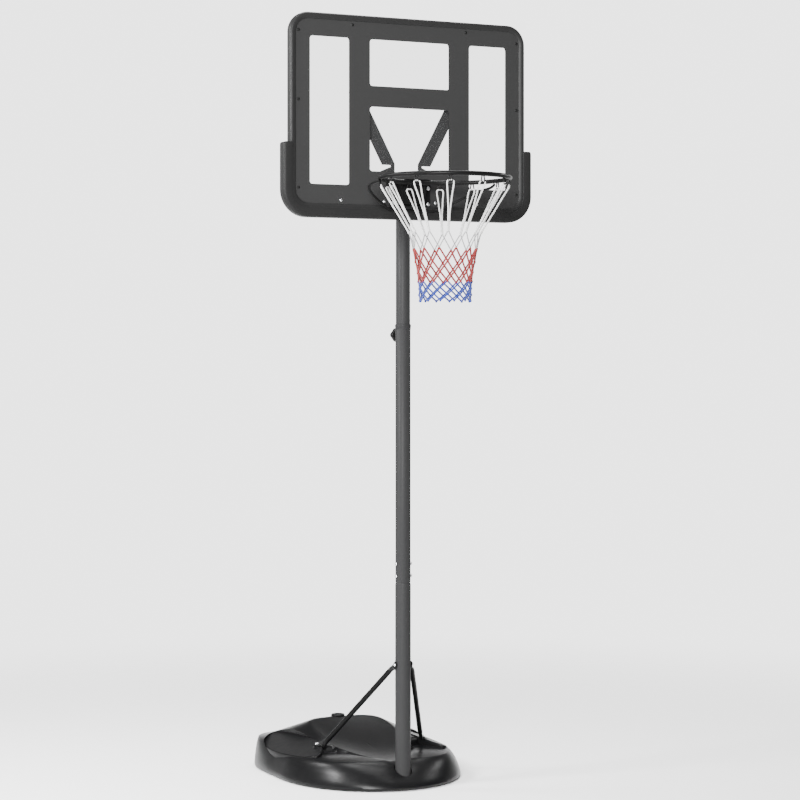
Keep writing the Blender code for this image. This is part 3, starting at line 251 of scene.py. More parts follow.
MATERIALS = {
    "tank": surface("tank_plastic", (0.0040, 0.0040, 0.0042), 0.31, grain=(0.0022, 0.00022), index=1.20),
    "pad": surface("pad_plastic", (0.0040, 0.0040, 0.0042), 0.38, grain=(0.0013, 0.00016), index=1.16),
    "pole": surface("pole_powder_coat", (0.0205, 0.0205, 0.0209), 0.38, grain=(0.0011, 0.00008), index=1.10),
    "collar": surface("collar_plastic", (0.0185, 0.0185, 0.0190), 0.42, grain=(0.0011, 0.00008), index=1.10),
    "bracket": surface("bracket_powder_coat", grey(0.0210), 0.55, index=1.10),
    "black_paint": surface("black_paint", grey(0.0035), 0.38, grain=(0.0015, 0.00006), index=1.16),
    "zinc": surface("zinc_plate", (0.55, 0.55, 0.56), 0.30, 1.0, grain=(0.0008, 0.00004), scuff=0.10),
    "facing": surface("facing_grey", grey(0.0205), 0.50, grain=(0.0014, 0.00006), mottle=0.03, index=1.10),
    "frame": surface("frame_plastic", grey(0.0125), 0.42, grain=(0.0016, 0.00012), mottle=0.04, index=1.18),
    "guard": surface("guard_plastic", grey(0.0108), 0.48, grain=(0.0016, 0.00014), mottle=0.04, index=1.16),
    "moulded": surface("moulded_black", grey(0.0035), 0.42, grain=(0.0012, 0.0001), index=1.22),
    "seal": surface("seal_rubber", grey(0.012), 0.75, grain=(0.001, 0.0001), specular=0.2),
    "clear": clear_sheet(),
    "white": cord_material("net_white", (0.46, 0.46, 0.455)),
    # painted shade: the mesh below the loops is the same white cord, darkened from 0.46 to 0.20 to stand in
    # for the shade inside the net
    "painted_shade_white": cord_material("net_white_mesh", grey(0.20)),
    "red": cord_material("net_red", (0.13, 0.0004, 0.0004)),
    "blue": cord_material("net_blue", (0.0004, 0.013, 0.15)),
}


# Mesh helpers

def turn_angles(count):
    return [2 * math.pi * i / count for i in range(count)]


def piece(name, mesh, look, body, replaced=()):
    """A new piece with its material, on its CAD body, standing for the CAD nodes in replaced."""
    made = bpy.data.objects.new(name, mesh)
    bpy.context.scene.collection.objects.link(made)
    mesh.materials.append(MATERIALS[look])
    if body:
        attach(made, body)
    if replaced:
        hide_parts(*replaced)
    return made


def mesh_from(build, name, smooth=40):
    """Run a bmesh builder; normals face out, and edges sharper than smooth degrees stay sharp."""
    shape = bmesh.new()
    build(shape)
    bmesh.ops.recalc_face_normals(shape, faces=shape.faces)
    mesh = bpy.data.meshes.new(name)
    shape.to_mesh(mesh)
    shape.free()
    mesh.shade_smooth()
    mesh.set_sharp_from_angle(angle=math.radians(smooth))
    return mesh


def built(name, build, look, body, replaced=(), smooth=40):
    """A piece from a bmesh builder."""
    return piece(name, mesh_from(build, name, smooth), look, body, replaced)


def bridge(shape, rings, cyclic=False, caps=True):
    """Faces between rings of points; returns the rings of vertices."""
    made = [[shape.verts.new(point) for point in ring] for ring in rings]
    pairs = list(zip(made, made[1:]))
    if cyclic:
        pairs.append((made[-1], made[0]))
    for here, there in pairs:
        for i in range(len(here)):
            j = (i + 1) % len(here)
            shape.faces.new((here[i], here[j], there[j], there[i]))
    if caps and not cyclic:
        shape.faces.new(made[0])
        shape.faces.new(made[-1])
    return made


def turned_rings(profile, origin, axis, sides):
    """Rings of points for (radius, distance along the axis) profile points."""
    axis = Vector(axis).normalized()
    first = axis.orthogonal().normalized()
    second = axis.cross(first)
    rings = []
    for radius, along in profile:
        rings.append([Vector(origin) + axis * along + radius * (first * math.cos(a) + second * math.sin(a))
                      for a in turn_angles(sides)])
    return rings


def turned(name, profile, look, body, replaced=(), origin=(0, 0, 0), axis=(0, 0, 1), sides=64, closed=False):
    """A piece turned from a profile around an axis; a closed profile is a ring's section."""
    def build(shape):
        bridge(shape, turned_rings(profile, origin, axis, sides), cyclic=closed)

    return built(name, build, look, body, replaced, smooth=35)


def tube_along(shape, points, radius, sides=8, cyclic=False):
    """A round tube along points, with its section carried along without twist; radius may vary."""
    count = len(points)
    radii = radius if isinstance(radius, (list, tuple)) else [radius] * count
    rings = []
    normal = None
    for i, point in enumerate(points):
        before = points[i - 1] if i or cyclic else point
        after = points[(i + 1) % count] if i < count - 1 or cyclic else point
        along = (after - before).normalized()
        if normal is None:
            normal = along.orthogonal().normalized()
        normal = (normal - along * normal.dot(along)).normalized()
        other = along.cross(normal)
        rings.append([point + radii[i] * (normal * math.cos(a) + other * math.sin(a))
                      for a in turn_angles(sides)])
    bridge(shape, rings, cyclic=cyclic)


def smooth_through(points, steps, cyclic=False):
    """Catmull-Rom points through the given ones."""
    points = [Vector(p) for p in points]
    count = len(points)
    result = []
    for i in range(count if cyclic else count - 1):
        if cyclic:
            before, start, end, after = (points[(i + k) % count] for k in (-1, 0, 1, 2))
        else:
            before, start, end, after = (points[min(max(i + k, 0), count - 1)] for k in (-1, 0, 1, 2))
        for step in range(steps):
            t = step / steps
            result.append(0.5 * (2 * start + (end - before) * t
                                 + (2 * before - 5 * start + 4 * end - after) * t ** 2
                                 + (3 * start - before - 3 * end + after) * t ** 3))
    if not cyclic:
        result.append(points[-1])
    return result


def cut(target, cutters):
    """Cut the target with each cutter and apply, then remove the cutters."""
    for cutter in cutters:
        step = target.modifiers.new("cut", 'BOOLEAN')
        step.operation = 'DIFFERENCE'
        step.solver = 'EXACT'
        step.object = cutter
    bpy.context.view_layer.update()
    result = bpy.data.meshes.new_from_object(target.evaluated_get(bpy.context.evaluated_depsgraph_get()))
    target.modifiers.clear()
    old = target.data
    target.data = result
    bpy.data.meshes.remove(old)
    for cutter in cutters:
        bpy.data.objects.remove(cutter, do_unlink=True)


def bevel(made, width, segments=2, angle=35):
    """Round off every edge sharper than the angle, in degrees."""
    step = made.modifiers.new("edge", 'BEVEL')
    step.width = width
    step.segments = segments
    step.limit_method = 'ANGLE'
    step.angle_limit = math.radians(angle)
    step.harden_normals = True
    made.data.shade_smooth()


def arc(centre, radius, start, end, steps):
    """Points of an arc between two angles in degrees."""
    angles = [math.radians(start + (end - start) * i / steps) for i in range(steps + 1)]
    return [(centre[0] + radius * math.cos(a), centre[1] + radius * math.sin(a)) for a in angles]


def rounded_box(left, right, bottom, top, corner, steps=6):
    """Outline of a rectangle with round corners."""
    left, right, bottom, top = left + corner, right - corner, bottom + corner, top - corner
    points = []
    for k, centre in enumerate(((right, top), (left, top), (left, bottom), (right, bottom))):
        points += arc(centre, corner, 90 * k, 90 * k + 90, steps)
    return points


def prisms(name, outlines, front, back, look="frame", body=None, replaced=()):
    """Prisms over (x, z) outlines, from y = front to y = back, in one mesh."""
    def build(shape):
        for outline in outlines:
            bridge(shape, [[(x, y, z) for x, z in outline] for y in (front, back)])

    return built(name, build, look, body, replaced, smooth=30)


def node_frame(node):
    """Lowest and highest corners, and the middle, of a CAD node."""
    low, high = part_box(node)
    return low, high, (low + high) / 2


# Camera, light and floor

def set_stage():
    camera_data = bpy.data.cameras.new("camera")
    camera_data.lens = CAMERA_LENS
    camera_data.shift_y = CAMERA_SHIFT_Y
    camera = bpy.data.objects.new("camera", camera_data)
    camera.location = CAMERA_PLACE
    camera.rotation_euler = (math.radians(90), 0, VIEW_TURN)
    bpy.context.scene.collection.objects.link(camera)
    bpy.context.scene.camera = camera

    world = bpy.data.worlds.new("studio")
    world.use_nodes = True
    tree = world.node_tree
    place = add_node(tree, "TexCoord").outputs["Generated"]
    toward = add_node(tree, "VectorMath", place)
    toward.operation = 'DOT_PRODUCT'
    toward.inputs[1].default_value = (-math.sin(VIEW_TURN), math.cos(VIEW_TURN), 0)
    start, full = BACKDROP_SPREAD
    lit = add_node(tree, "MapRange", toward.outputs["Value"], From_Min=start, From_Max=full, To_Min=SURROUND,
                   To_Max=BACKDROP)
    lit.interpolation_type = 'SMOOTHSTEP'
    parts = add_node(tree, "SeparateXYZ", place)
    start, full = CEILING_START
    fade = add_node(tree, "MapRange", parts.outputs["Z"], From_Min=start, From_Max=full, To_Max=CEILING)
    fade.interpolation_type = 'SMOOTHSTEP'
    tree.links.new(lit.outputs["Result"], fade.inputs["To Min"])
    background = tree.nodes["Background"]
    background.inputs["Color"].default_value = (1, 1, 1, 1)
    tree.links.new(fade.outputs["Result"], background.inputs["Strength"])
    bpy.context.scene.world = world

    for name, place, target, (width, height), power in LIGHTS:
        data = bpy.data.lights.new(name, 'AREA')
        data.shape = 'RECTANGLE'
        data.size = width
        data.size_y = height
        data.energy = power
        light = bpy.data.objects.new(name, data)
        light.location = place
        light.visible_camera = False
        light.rotation_euler = (Vector(target) - Vector(place)).to_track_quat('-Z', 'Y').to_euler()
        bpy.context.scene.collection.objects.link(light)

    def build(shape):
        bmesh.ops.create_circle(shape, cap_ends=True, segments=96, radius=FLOOR_RADIUS)

    floor = bpy.data.objects.new("floor", mesh_from(build, "floor"))
    floor.data.materials.append(floor_material())
    floor.location.z = FLOOR_Z
    bpy.context.scene.collection.objects.link(floor)


def floor_material():
    """Pale floor that fades out into the backdrop at its edge."""
    material = surface("floor_white", grey(0.88), 0.7, mottle=0.01, scuff=0.03, specular=0.1)
    tree = material.node_tree
    place = next(node for node in tree.nodes if node.type == 'TEX_COORD')
    away = add_node(tree, "VectorMath", place.outputs["Object"])
    away.operation = 'LENGTH'
    fade = add_node(tree, "MapRange", away.outputs["Value"], From_Min=0.25 * FLOOR_RADIUS,
                    From_Max=0.98 * FLOOR_RADIUS, To_Min=1.0, To_Max=0.0)
    fade.interpolation_type = 'SMOOTHSTEP'
    tree.links.new(fade.outputs["Result"], shader_of(material).inputs["Alpha"])
    return material


# Tank

TANK_LOW, TANK_HIGH, _ = node_frame("base_tank")
FRONT_DEPTH = CENTRE_Y - TANK_LOW.y
REAR_DEPTH = TANK_HIGH.y - CENTRE_Y
HALF_WIDTH = TANK_HIGH.x


def tank_reach(angle):
    """Distance from the tank's centre to its outline; the front is an ellipse, the rear squarer."""
    c, s = abs(math.cos(angle)), math.sin(angle)
    power = REAR_SQUARENESS if s > 0 else 2.0
    depth = REAR_DEPTH if s > 0 else FRONT_DEPTH
    return ((c / HALF_WIDTH) ** power + (abs(s) / depth) ** power) ** (-1 / power)


def front_slope(angle):
    """How much wider the wall slopes here: 3 straight in front, falling to 1 away from it."""
    from_front = math.remainder(angle + math.pi / 2, 2 * math.pi)
    return 1 + FRONT_WIDENING * math.exp(-(from_front / FRONT_SPREAD) ** 2)


def soft_step(low, high, value):
    """0 below low, 1 above high, and smooth between them."""
    t = min(1.0, max(0.0, (value - low) / (high - low)))
    return t * t * (3 - 2 * t)


def soft_min(a, b, width):
    """The smaller of a and b, blended where they are closer than the width."""
    share = min(1.0, max(0.0, 0.5 + 0.5 * (b - a) / width))
    return b + (a - b) * share - width * share * (1 - share)


def rear_share(angle):
    """0 at the front and the sides, 1 at the rear."""
    return soft_step(0.25, 0.8, math.sin(angle))


def flank_height(inset, angle):
    """Height of the sloping flank at this inset from the tank's outline."""
    rise = REAR_RISE * rear_share(angle)
    steepness = FLANK_SLOPE + REAR_STEEPNESS * max(0.0, math.sin(angle)) ** 3 - rise / REAR_RUN
    return SHOULDER_Z + rise + steepness * (inset - SHOULDER_INSET)


def top_height(x, y):
    """Height of the tank's top: front lobes, a dish that rises to the rear, and sloping flanks."""
    angle = math.atan2(y - CENTRE_Y, x)
    inset = (tank_reach(angle) - math.hypot(x, y - CENTRE_Y)) / front_slope(angle)
    inset = max(inset, SHOULDER_INSET)
    lobes = LOBE_Z - LOBE_FALL * max(0.0, LOBE_INSET - inset) ** 2
    dish = DISH_Z + DISH_CLIMB * max(0.0, y - DISH_START_Y) ** 2 + DISH_CUP * x * x
    rear = soft_min(flank_height(inset, angle), dish, 0.010)
    side = min(abs(x), CREASE_CURVED_X)
    behind_crease = (y - CREASE_Y - CREASE_SLOPE * side - CREASE_BEND * side * side
                     - CREASE_END_SLOPE * (abs(x) - side))
    reach = 0.035 - 0.022 * soft_step(0.06, 0.13, abs(x))
    share = soft_step(-0.5 * reach, reach, behind_crease)
    crease = CREASE_DEPTH * math.exp(-(behind_crease / 0.011) ** 2) * soft_step(0.05, 0.09, inset)
    return lobes + (rear - lobes) * share - crease


def tank_rings():
    """Rings of the tank's outside: up the wall, then inwards over the top."""
    angles = [a - math.pi / 2 for a in turn_angles(SPOKES)]

    def at(angle, reach):
        return reach * math.cos(angle), CENTRE_Y + reach * math.sin(angle)

    rings = []
    for inset, share in WALL_PROFILE:
        ring = []
        for angle in angles:
            widening = front_slope(angle)
            shoulder = at(angle, tank_reach(angle) - SHOULDER_INSET * widening)
            if inset < SHOULDER_INSET:
                widening *= 1 - REAR_TIGHTNESS * rear_share(angle)
            x, y = at(angle, tank_reach(angle) - inset * widening)
            ring.append((x, y, top_height(*shoulder) * share))
        rings.append(ring)
    for step in range(1, TOP_RINGS):
        part = 1 - step / TOP_RINGS
        ring = []
        for angle in angles:
            reach = (tank_reach(angle) - SHOULDER_INSET * front_slope(angle)) * part
            x, y = at(angle, reach)
            ring.append((x, y, top_height(x, y)))
        rings.append(ring)
    return rings


def pad_plane(x, y):
    return PAD_Z - PAD_TILT * (x - PAD_MIDDLE[0]) + PAD_CLIMB * (y - PAD_MIDDLE[1])


def pad_height(x, y):
    """A pad's tilted top, with a flat seat under the strut's foot."""
    height = pad_plane(x, y)
    to_foot = math.hypot(x - 0.96 * FOOT_BOLT[0], y - 0.96 * FOOT_BOLT[1])
    seat = 1 - soft_step(0.020, 0.030, to_foot)
    return height + (FOOT_SEAT_Z - 0.0002 - height) * seat


def pad_outline(grow):
    """The pad's outline on the right, moved out by grow."""
    middle = Vector((*PAD_MIDDLE, 0))
    points = smooth_through([(x, y, 0) for x, y in PAD_OUTLINE], 8, cyclic=True)
    return [point + (point - middle).normalized() * grow for point in points]


def pad_rings(sign, grow, levels, height):
    """Rings of a pad: levels are (scale about its middle, offset from height, a function of the place)."""
    middle = Vector((*PAD_MIDDLE, 0))
    rings = []
    for scale, offset in levels:
        ring = []
        for point in pad_outline(grow):
            spot = middle + (point - middle) * scale
            ring.append((sign * spot.x, spot.y, height(spot.x, spot.y) + offset))
        rings.append(ring)
    return rings


def make_tank():
    def build(shape):
        rings = bridge(shape, tank_rings(), caps=False)
        shape.faces.new(rings[0])
        crown = shape.verts.new((0, CENTRE_Y, top_height(0, CENTRE_Y)))
        for i in range(SPOKES):
            shape.faces.new((crown, rings[-1][i], rings[-1][(i + 1) % SPOKES]))

    tank = built("tank_shell", build, "tank", "base", ["base_tank"], smooth=50)
    cutters = []
    for side, sign in LEFT_RIGHT:
        def pocket(shape):
            bridge(shape, pad_rings(sign, PAD_GROOVE, ((1.0, -0.004), (1.0, 0.08)), pad_plane))

        cutters.append(built(f"pocket_{side}", pocket, "tank", None))
        wheel_low, wheel_high, _ = node_frame(f"wheel_{side}")
        inner = sign * (min(abs(wheel_low.x), abs(wheel_high.x)) - 0.006)

        def notch(shape):
            outline = [(0.9, -0.01), (0.9, 0.072), (0.748, 0.072), (0.732, 0.058), (0.732, -0.01)]
            bridge(shape, [[(x, y, z) for y, z in outline] for x in (inner, sign * 0.45)])

        cutters.append(built(f"notch_{side}", notch, "tank", None))
    well = [(WELL_RADIUS, 0.012), (WELL_RADIUS, 0.10), (WELL_RADIUS, 0.3)]
    cutters.append(turned("well", well, "tank", None, sides=96))
    cut(tank, cutters)
    tank.data.set_sharp_from_angle(angle=math.radians(38))
    for side, sign in LEFT_RIGHT:
        def pad(shape):
            levels = ((1.0, -PAD_WALL), (1.0, -0.012), (1.0, -0.003), (0.994, -0.0012), (0.982, -0.0003),
                      (0.96, 0.0), *[(0.94 - 0.03 * k, 0.0) for k in range(30)])
            bridge(shape, pad_rings(sign, 0.0, levels, pad_height))

        built(f"tank_pad_{side}", pad, "pad", "base", smooth=50)


def make_filler():
    low, high, middle = node_frame("filler_cap")
    spot = (0, middle.y, 0)
    surface_z = top_height(0, FILLER_Y)
    neck_top = surface_z + FILLER_RISE - FIT
    neck = [(0.036, surface_z - 0.012), (0.036, surface_z - 0.0025), (0.031, surface_z - 0.0005),
            (0.0225, surface_z + 0.0008), (0.021, surface_z + 0.0014), (0.021, neck_top), (0.016, neck_top),
            (0.016, surface_z - 0.012)]
    turned("filler_boss", neck, "tank", "base", origin=spot, closed=True)
    radius = (high.x - low.x) / 2

    def build(shape):
        levels = ((0.905, low.z), (0.985, low.z + 0.0006), (1.0, low.z + 0.002), (1.0, high.z - 0.0040),
                  (0.975, high.z - 0.0024), (0.91, high.z - 0.0014), (0.80, high.z - 0.0012),
                  (0.77, high.z - 0.0005), (0.6, high.z - 0.0001), (0.3, high.z), (0.05, high.z))
        rings = []
        for i, (scale, z) in enumerate(levels):
            ring = []
            for a in turn_angles(4 * FILLER_RIBS):
                knurl = 0.0006 * math.cos(FILLER_RIBS * a) if 1 <= i <= 3 else 0.0
                r = radius * scale - 0.0006 + knurl
                ring.append((r * math.cos(a), middle.y + r * math.sin(a), z))
            rings.append(ring)
        bridge(shape, rings)

    built("filler_lid", build, "moulded", "cap", ["filler_cap"], smooth=45)
    handle_z = high.z - 0.0010

    def grip(shape):
        outline = rounded_box(-0.015, 0.015, -0.0028, 0.0028, 0.0026, 5)
        rings = [[(x * s, middle.y + y * s, z) for x, y in outline]
                 for s, z in ((1.0, handle_z), (1.0, handle_z + 0.0016), (0.93, handle_z + 0.0022))]
        bridge(shape, rings)

    built("filler_lid_grip", grip, "moulded", "cap", smooth=45)


def make_wheels():
    for side, sign in LEFT_RIGHT:
        wheel = f"wheel_{side}"
        low, high, middle = node_frame(wheel)
        half = (high.x - low.x) / 2
        rim = (high.z - low.z) / 2
        profile = [(0.0048, -half), (0.0085, -half), (0.0095, -0.55 * half), (0.0100, -0.30 * half),
                   (0.62 * rim, -0.26 * half), (0.70 * rim, -0.5 * half), (0.72 * rim, -0.92 * half),
                   (0.76 * rim, -half), (0.88 * rim, -half), (0.95 * rim, -0.92 * half),
                   (0.985 * rim, -0.75 * half), (rim, -0.45 * half)]
        profile += [(out, -along) for out, along in profile[::-1]]
        turned(f"{wheel}_tread", profile, "moulded", wheel, [wheel], middle, (1, 0, 0), closed=True)

        def spokes(shape):
            for k in range(6):
                turn = Matrix.Rotation(math.radians(60 * k), 4, 'X')
                inner, outer, wide = 0.009, 0.71 * rim, 0.0016
                section = [(-0.8 * half, -wide), (0.8 * half, -wide), (0.8 * half, wide), (-0.8 * half, wide)]
                rings = [[middle + turn @ Vector((x, y, z)) for x, y in section] for z in (inner, outer)]
                bridge(shape, rings)

        bevel(built(f"{wheel}_spokes", spokes, "moulded", wheel), 0.0005)
        low, high, middle = node_frame(f"axle_cap_{side}")
        inner = low.x if sign > 0 else high.x
        cap = [(0.0045, 0.0), (0.0085, 0.0), (0.0088, 0.0006), (0.0085, 0.0013), (0.0078, 0.0032),
               (0.0058, 0.0056), (0.0030, 0.0070), (0.0006, 0.0075)]
        turned(f"axle_push_cap_{side}", cap, "zinc", "base", [f"axle_cap_{side}"],
               (inner, middle.y, middle.z), (sign, 0, 0), sides=32)
    low, high, middle = node_frame("wheel_axle")
    radius = (high.z - low.z) / 2
    length = high.x - low.x
    rod = [(radius - 0.0008, 0.0), (radius, 0.0008), (radius, length - 0.0008), (radius - 0.0008, length)]
    turned("axle_rod", rod, "zinc", "base", ["wheel_axle"], (low.x, middle.y, middle.z), (1, 0, 0), sides=32)


# Pole

def dimpled_tube(name, heights, body, replaced):
    """A tube in its CAD node's place, pressed in on the left and right around bolts at these heights."""
    low, high, _ = node_frame(replaced[0])
    radius, bottom, top = high.x, low.z, high.z
    levels = {bottom + 0.0005, bottom, top - 0.0005, top}
    for height in heights:
        levels.update(height + 0.0022 * k for k in range(-9, 10))
    span = sorted(levels)
    sides = 72

    def build(shape):
        rings = []
        for z in span:
            ring = []
            edge = 0.0004 if z in (bottom, top) else 0.0
            for a in turn_angles(sides):
                dent = 0.0
                for height in heights:
                    across = radius * math.sin(a)
                    away = math.hypot(across, z - height)
                    dent = max(dent, DIMPLE_DEPTH * math.exp(-(away / DIMPLE_SPREAD) ** 2))
                r = radius - edge - dent
                ring.append((r * math.cos(a), r * math.sin(a), z))
            rings.append(ring)
        inner = radius - TUBE_WALL
        for z in (top, bottom):
            rings.append([(inner * math.cos(a), inner * math.sin(a), z) for a in turn_angles(sides)])
        bridge(shape, rings, cyclic=True)

    built(name, build, "pole", body, replaced, smooth=40)


def make_pole():
    low, high, _ = node_frame("pole_lower")
    radius = high.x
    joint = POLE_JOINT_Z
    neck = NECK_RADIUS
    lower = [(radius - 0.0005, low.z), (radius, low.z + 0.0005), (radius, joint - 0.004),
             (radius - 0.0006, joint - 0.0015), (radius - 0.0018, joint + 0.001), (neck, joint + 0.003),
             (neck, high.z), (neck - TUBE_WALL, high.z), (neck - TUBE_WALL, joint),
             (radius - TUBE_WALL, joint - 0.008), (radius - TUBE_WALL, low.z)]
    turned("lower_tube", lower, "pole", "base", ["pole_lower"], sides=72, closed=True)
    bolts = [node_frame(f"joint_bolt_{where}")[2].z for where in ("lower", "upper")]
    dimpled_tube("middle_tube", bolts, "base", ["pole_middle"])
    dimpled_tube("upper_tube", (), "upper", ["pole_upper"])
    low, high, _ = node_frame("pole_collar")
    outer = high.x
    bore, socket = 0.0275, 0.0288
    profile = [(bore, high.z), (outer - 0.0014, high.z), (outer - 0.0004, high.z - 0.0006),
               (outer, high.z - 0.0018), (outer, high.z - 0.0082), (outer - 0.0006, high.z - 0.0098),
               (outer - 0.0008, low.z + 0.0006), (outer - 0.0013, low.z), (socket, low.z),
               (socket, high.z - 0.0088), (bore, high.z - 0.0088)]
    turned("collar_ring", profile, "collar", "base", ["pole_collar"], sides=72, closed=True)
    low, high, _ = node_frame("pole_top_cap")
    wide = high.x
    plug = [(wide - 0.0018, low.z), (wide - 0.0014, low.z + 0.010), (wide, low.z + 0.0102),
            (wide, low.z + 0.0112), (wide - 0.0009, low.z + 0.0120), (0.8 * wide, high.z - 0.0003),
            (0.4 * wide, high.z), (0.05 * wide, high.z)]
    turned("top_plug", plug, "moulded", "upper", ["pole_top_cap"], sides=64)


def make_knob():
    low, high, _ = node_frame("lock_knob")
    centre_z = node_frame("lock_screw")[2].z
    outer = -0.97 * low.x
    wave = KNOB_WAVE
    depth = high.y - low.y
    levels = ((0.55, 0.0), (0.86, 0.0), (0.94, 0.0008), (0.985, 0.0024), (1.0, 0.0050), (1.0, depth - 0.0065),
              (0.985, depth - 0.0038), (0.94, depth - 0.0016), (0.86, depth - 0.0004), (0.70, depth - 0.0001),
              (0.56, depth - 0.0006), (0.50, depth - 0.0016), (0.20, depth - 0.0020), (0.03, depth - 0.0020))

    def build(shape):
        rings = []
        for scale, along in levels:
            ring = []
            for a in turn_angles(120):
                hollow = wave if scale > 0.6 else wave * max(0.0, scale - 0.2)
                r = (outer - wave) * scale + hollow * math.cos(KNOB_LOBES * (a - math.pi)) * scale
                ring.append((r * math.cos(a), low.y + along, centre_z + r * math.sin(a)))
            rings.append(ring)
        bridge(shape, rings)

    built("knob_grip", build, "moulded", "knob", ["lock_knob"], smooth=50)
    low, _, middle = node_frame("lock_screw")
    shank = 0.0040
    turns = 9
    profile = [(0.0028, 0.0), (0.0035, 0.0008)]
    for k in range(turns):
        start = 0.0010 + 0.0013 * k
        profile += [(shank - 0.0006, start), (shank, start + 0.00065)]
    profile += [(shank, 0.0128), (0.0090, 0.0128), (0.0095, 0.0133), (0.0095, 0.0150), (0.0090, 0.0153),
                (shank, 0.0153), (shank, 0.022)]
    turned("knob_screw", profile, "zinc", "knob", ["lock_screw"], (0, low.y, middle.z), (0, 1, 0), sides=32)
    low, high, middle = node_frame("lock_nut")
    hex_nut("welded_nut", middle, (0, 1, 0), high.y - low.y, 0.009, "base", ["lock_nut"], 0.0044, "pole")


# Fasteners

def hex_nut(name, middle, axis, height, radius, body, replaced=(), bore=0.0031, look="zinc"):
    """A hexagon nut with chamfered corners; radius reaches to its corners."""
    axis = Vector(axis).normalized()
    first = Vector((0, 0, 1)) if abs(axis.z) < 0.5 else Vector((1, 0, 0))
    second = axis.cross(first)
    levels = ((0.0, -0.5), (0.93, -0.5), (1.0, -0.38), (1.0, 0.38), (0.93, 0.5), (0.0, 0.5))  # 0 is the bore

    def build(shape):
        rings = []
        for reach, along in levels:
            ring = []
            for a in turn_angles(36):
                within = math.remainder(a, math.pi / 3)
                flat = radius * math.cos(math.pi / 6) / math.cos(math.pi / 6 - abs(within))
                r = min(flat, radius * reach) if reach else bore
                ring.append(middle + axis * along * height + r * (first * math.cos(a) + second * math.sin(a)))
            rings.append(ring)
        bridge(shape, rings, cyclic=True)

    built(name, build, look, body, replaced, smooth=25)


def dome_bolt(name, node, axis, body, look="zinc", head=None, shank=0.003):
    """A domed head and a threaded shank, in the node's box; the axis points from the head to the tip."""
    low, high, middle = node_frame(node)
    axis = Vector(axis)
    index = max(range(3), key=lambda k: abs(axis[k]))
    length = high[index] - low[index]
    across = [high[k] - low[k] for k in range(3) if k != index]
    radius = head or max(across) / 2
    start = middle.copy()
    start[index] = low[index] if axis[index] > 0 else high[index]
    dome = 0.62 * radius
    profile = [(0.04 * radius, 0.0), (0.30 * radius, 0.03 * dome), (0.55 * radius, 0.14 * dome),
               (0.76 * radius, 0.34 * dome), (0.91 * radius, 0.62 * dome), (radius, dome), (shank, dome)]
    position = dome
    while position < length - 0.002:
        profile += [(shank, position + 0.0004), (shank - 0.00035, position + 0.0009)]
        position += 0.0010
    profile += [(shank - 0.0004, length - 0.0006), (shank - 0.0008, length)]
    turned(name, profile, look, body, [node], start, axis, sides=28)


def node_nut(name, node, body):
    """A hexagon nut in its CAD node's place, on a bolt along X."""
    low, high, middle = node_frame(node)
    hex_nut(name, middle, (1, 0, 0), high.x - low.x, (high.z - low.z) / 2, body, [node])


def make_fasteners():
    for where in ("lower", "upper"):
        for group, body in (("joint", "base"), ("bracket", "upper")):
            dome_bolt(f"{group}_screw_{where}", f"{group}_bolt_{where}", (1, 0, 0), body)
            node_nut(f"{group}_hex_{where}", f"{group}_nut_{where}", body)
    dome_bolt("strut_screw", "strut_bolt_top", (1, 0, 0), "base")
    node_nut("strut_hex", "strut_nut_top", "base")
    for side, _ in LEFT_RIGHT:
        dome_bolt(f"foot_screw_{side}", f"strut_foot_bolt_{side}", (0, 0, -1), "base", shank=0.004)
        dome_bolt(f"arm_screw_{side}", f"arm_bolt_{side}", (0, -1, 0), "upper")
        for row in ("top", "upper", "middle", "lower"):
            dome_bolt(f"facing_screw_{row}_{side}", f"panel_screw_{row}_{side}", (0, 1, 0), "upper",
                      "moulded", shank=0.0021)
        for group, rows, head in (("board", ("inner", "outer"), None), ("rim", ("upper", "lower"), 0.0078)):
            for row in rows:
                node = f"{group}_bolt_{row}_{side}"
                dome_bolt(f"{group}_screw_{row}_{side}", node, (0, 1, 0), "upper", head=head)
                _, high, middle = node_frame(node)
                nut = Vector((middle.x, high.y - 0.0075, middle.z))
                hex_nut(f"{group}_hex_{row}_{side}", nut, (0, 1, 0), 0.0052, 0.0066, "upper")


# Struts

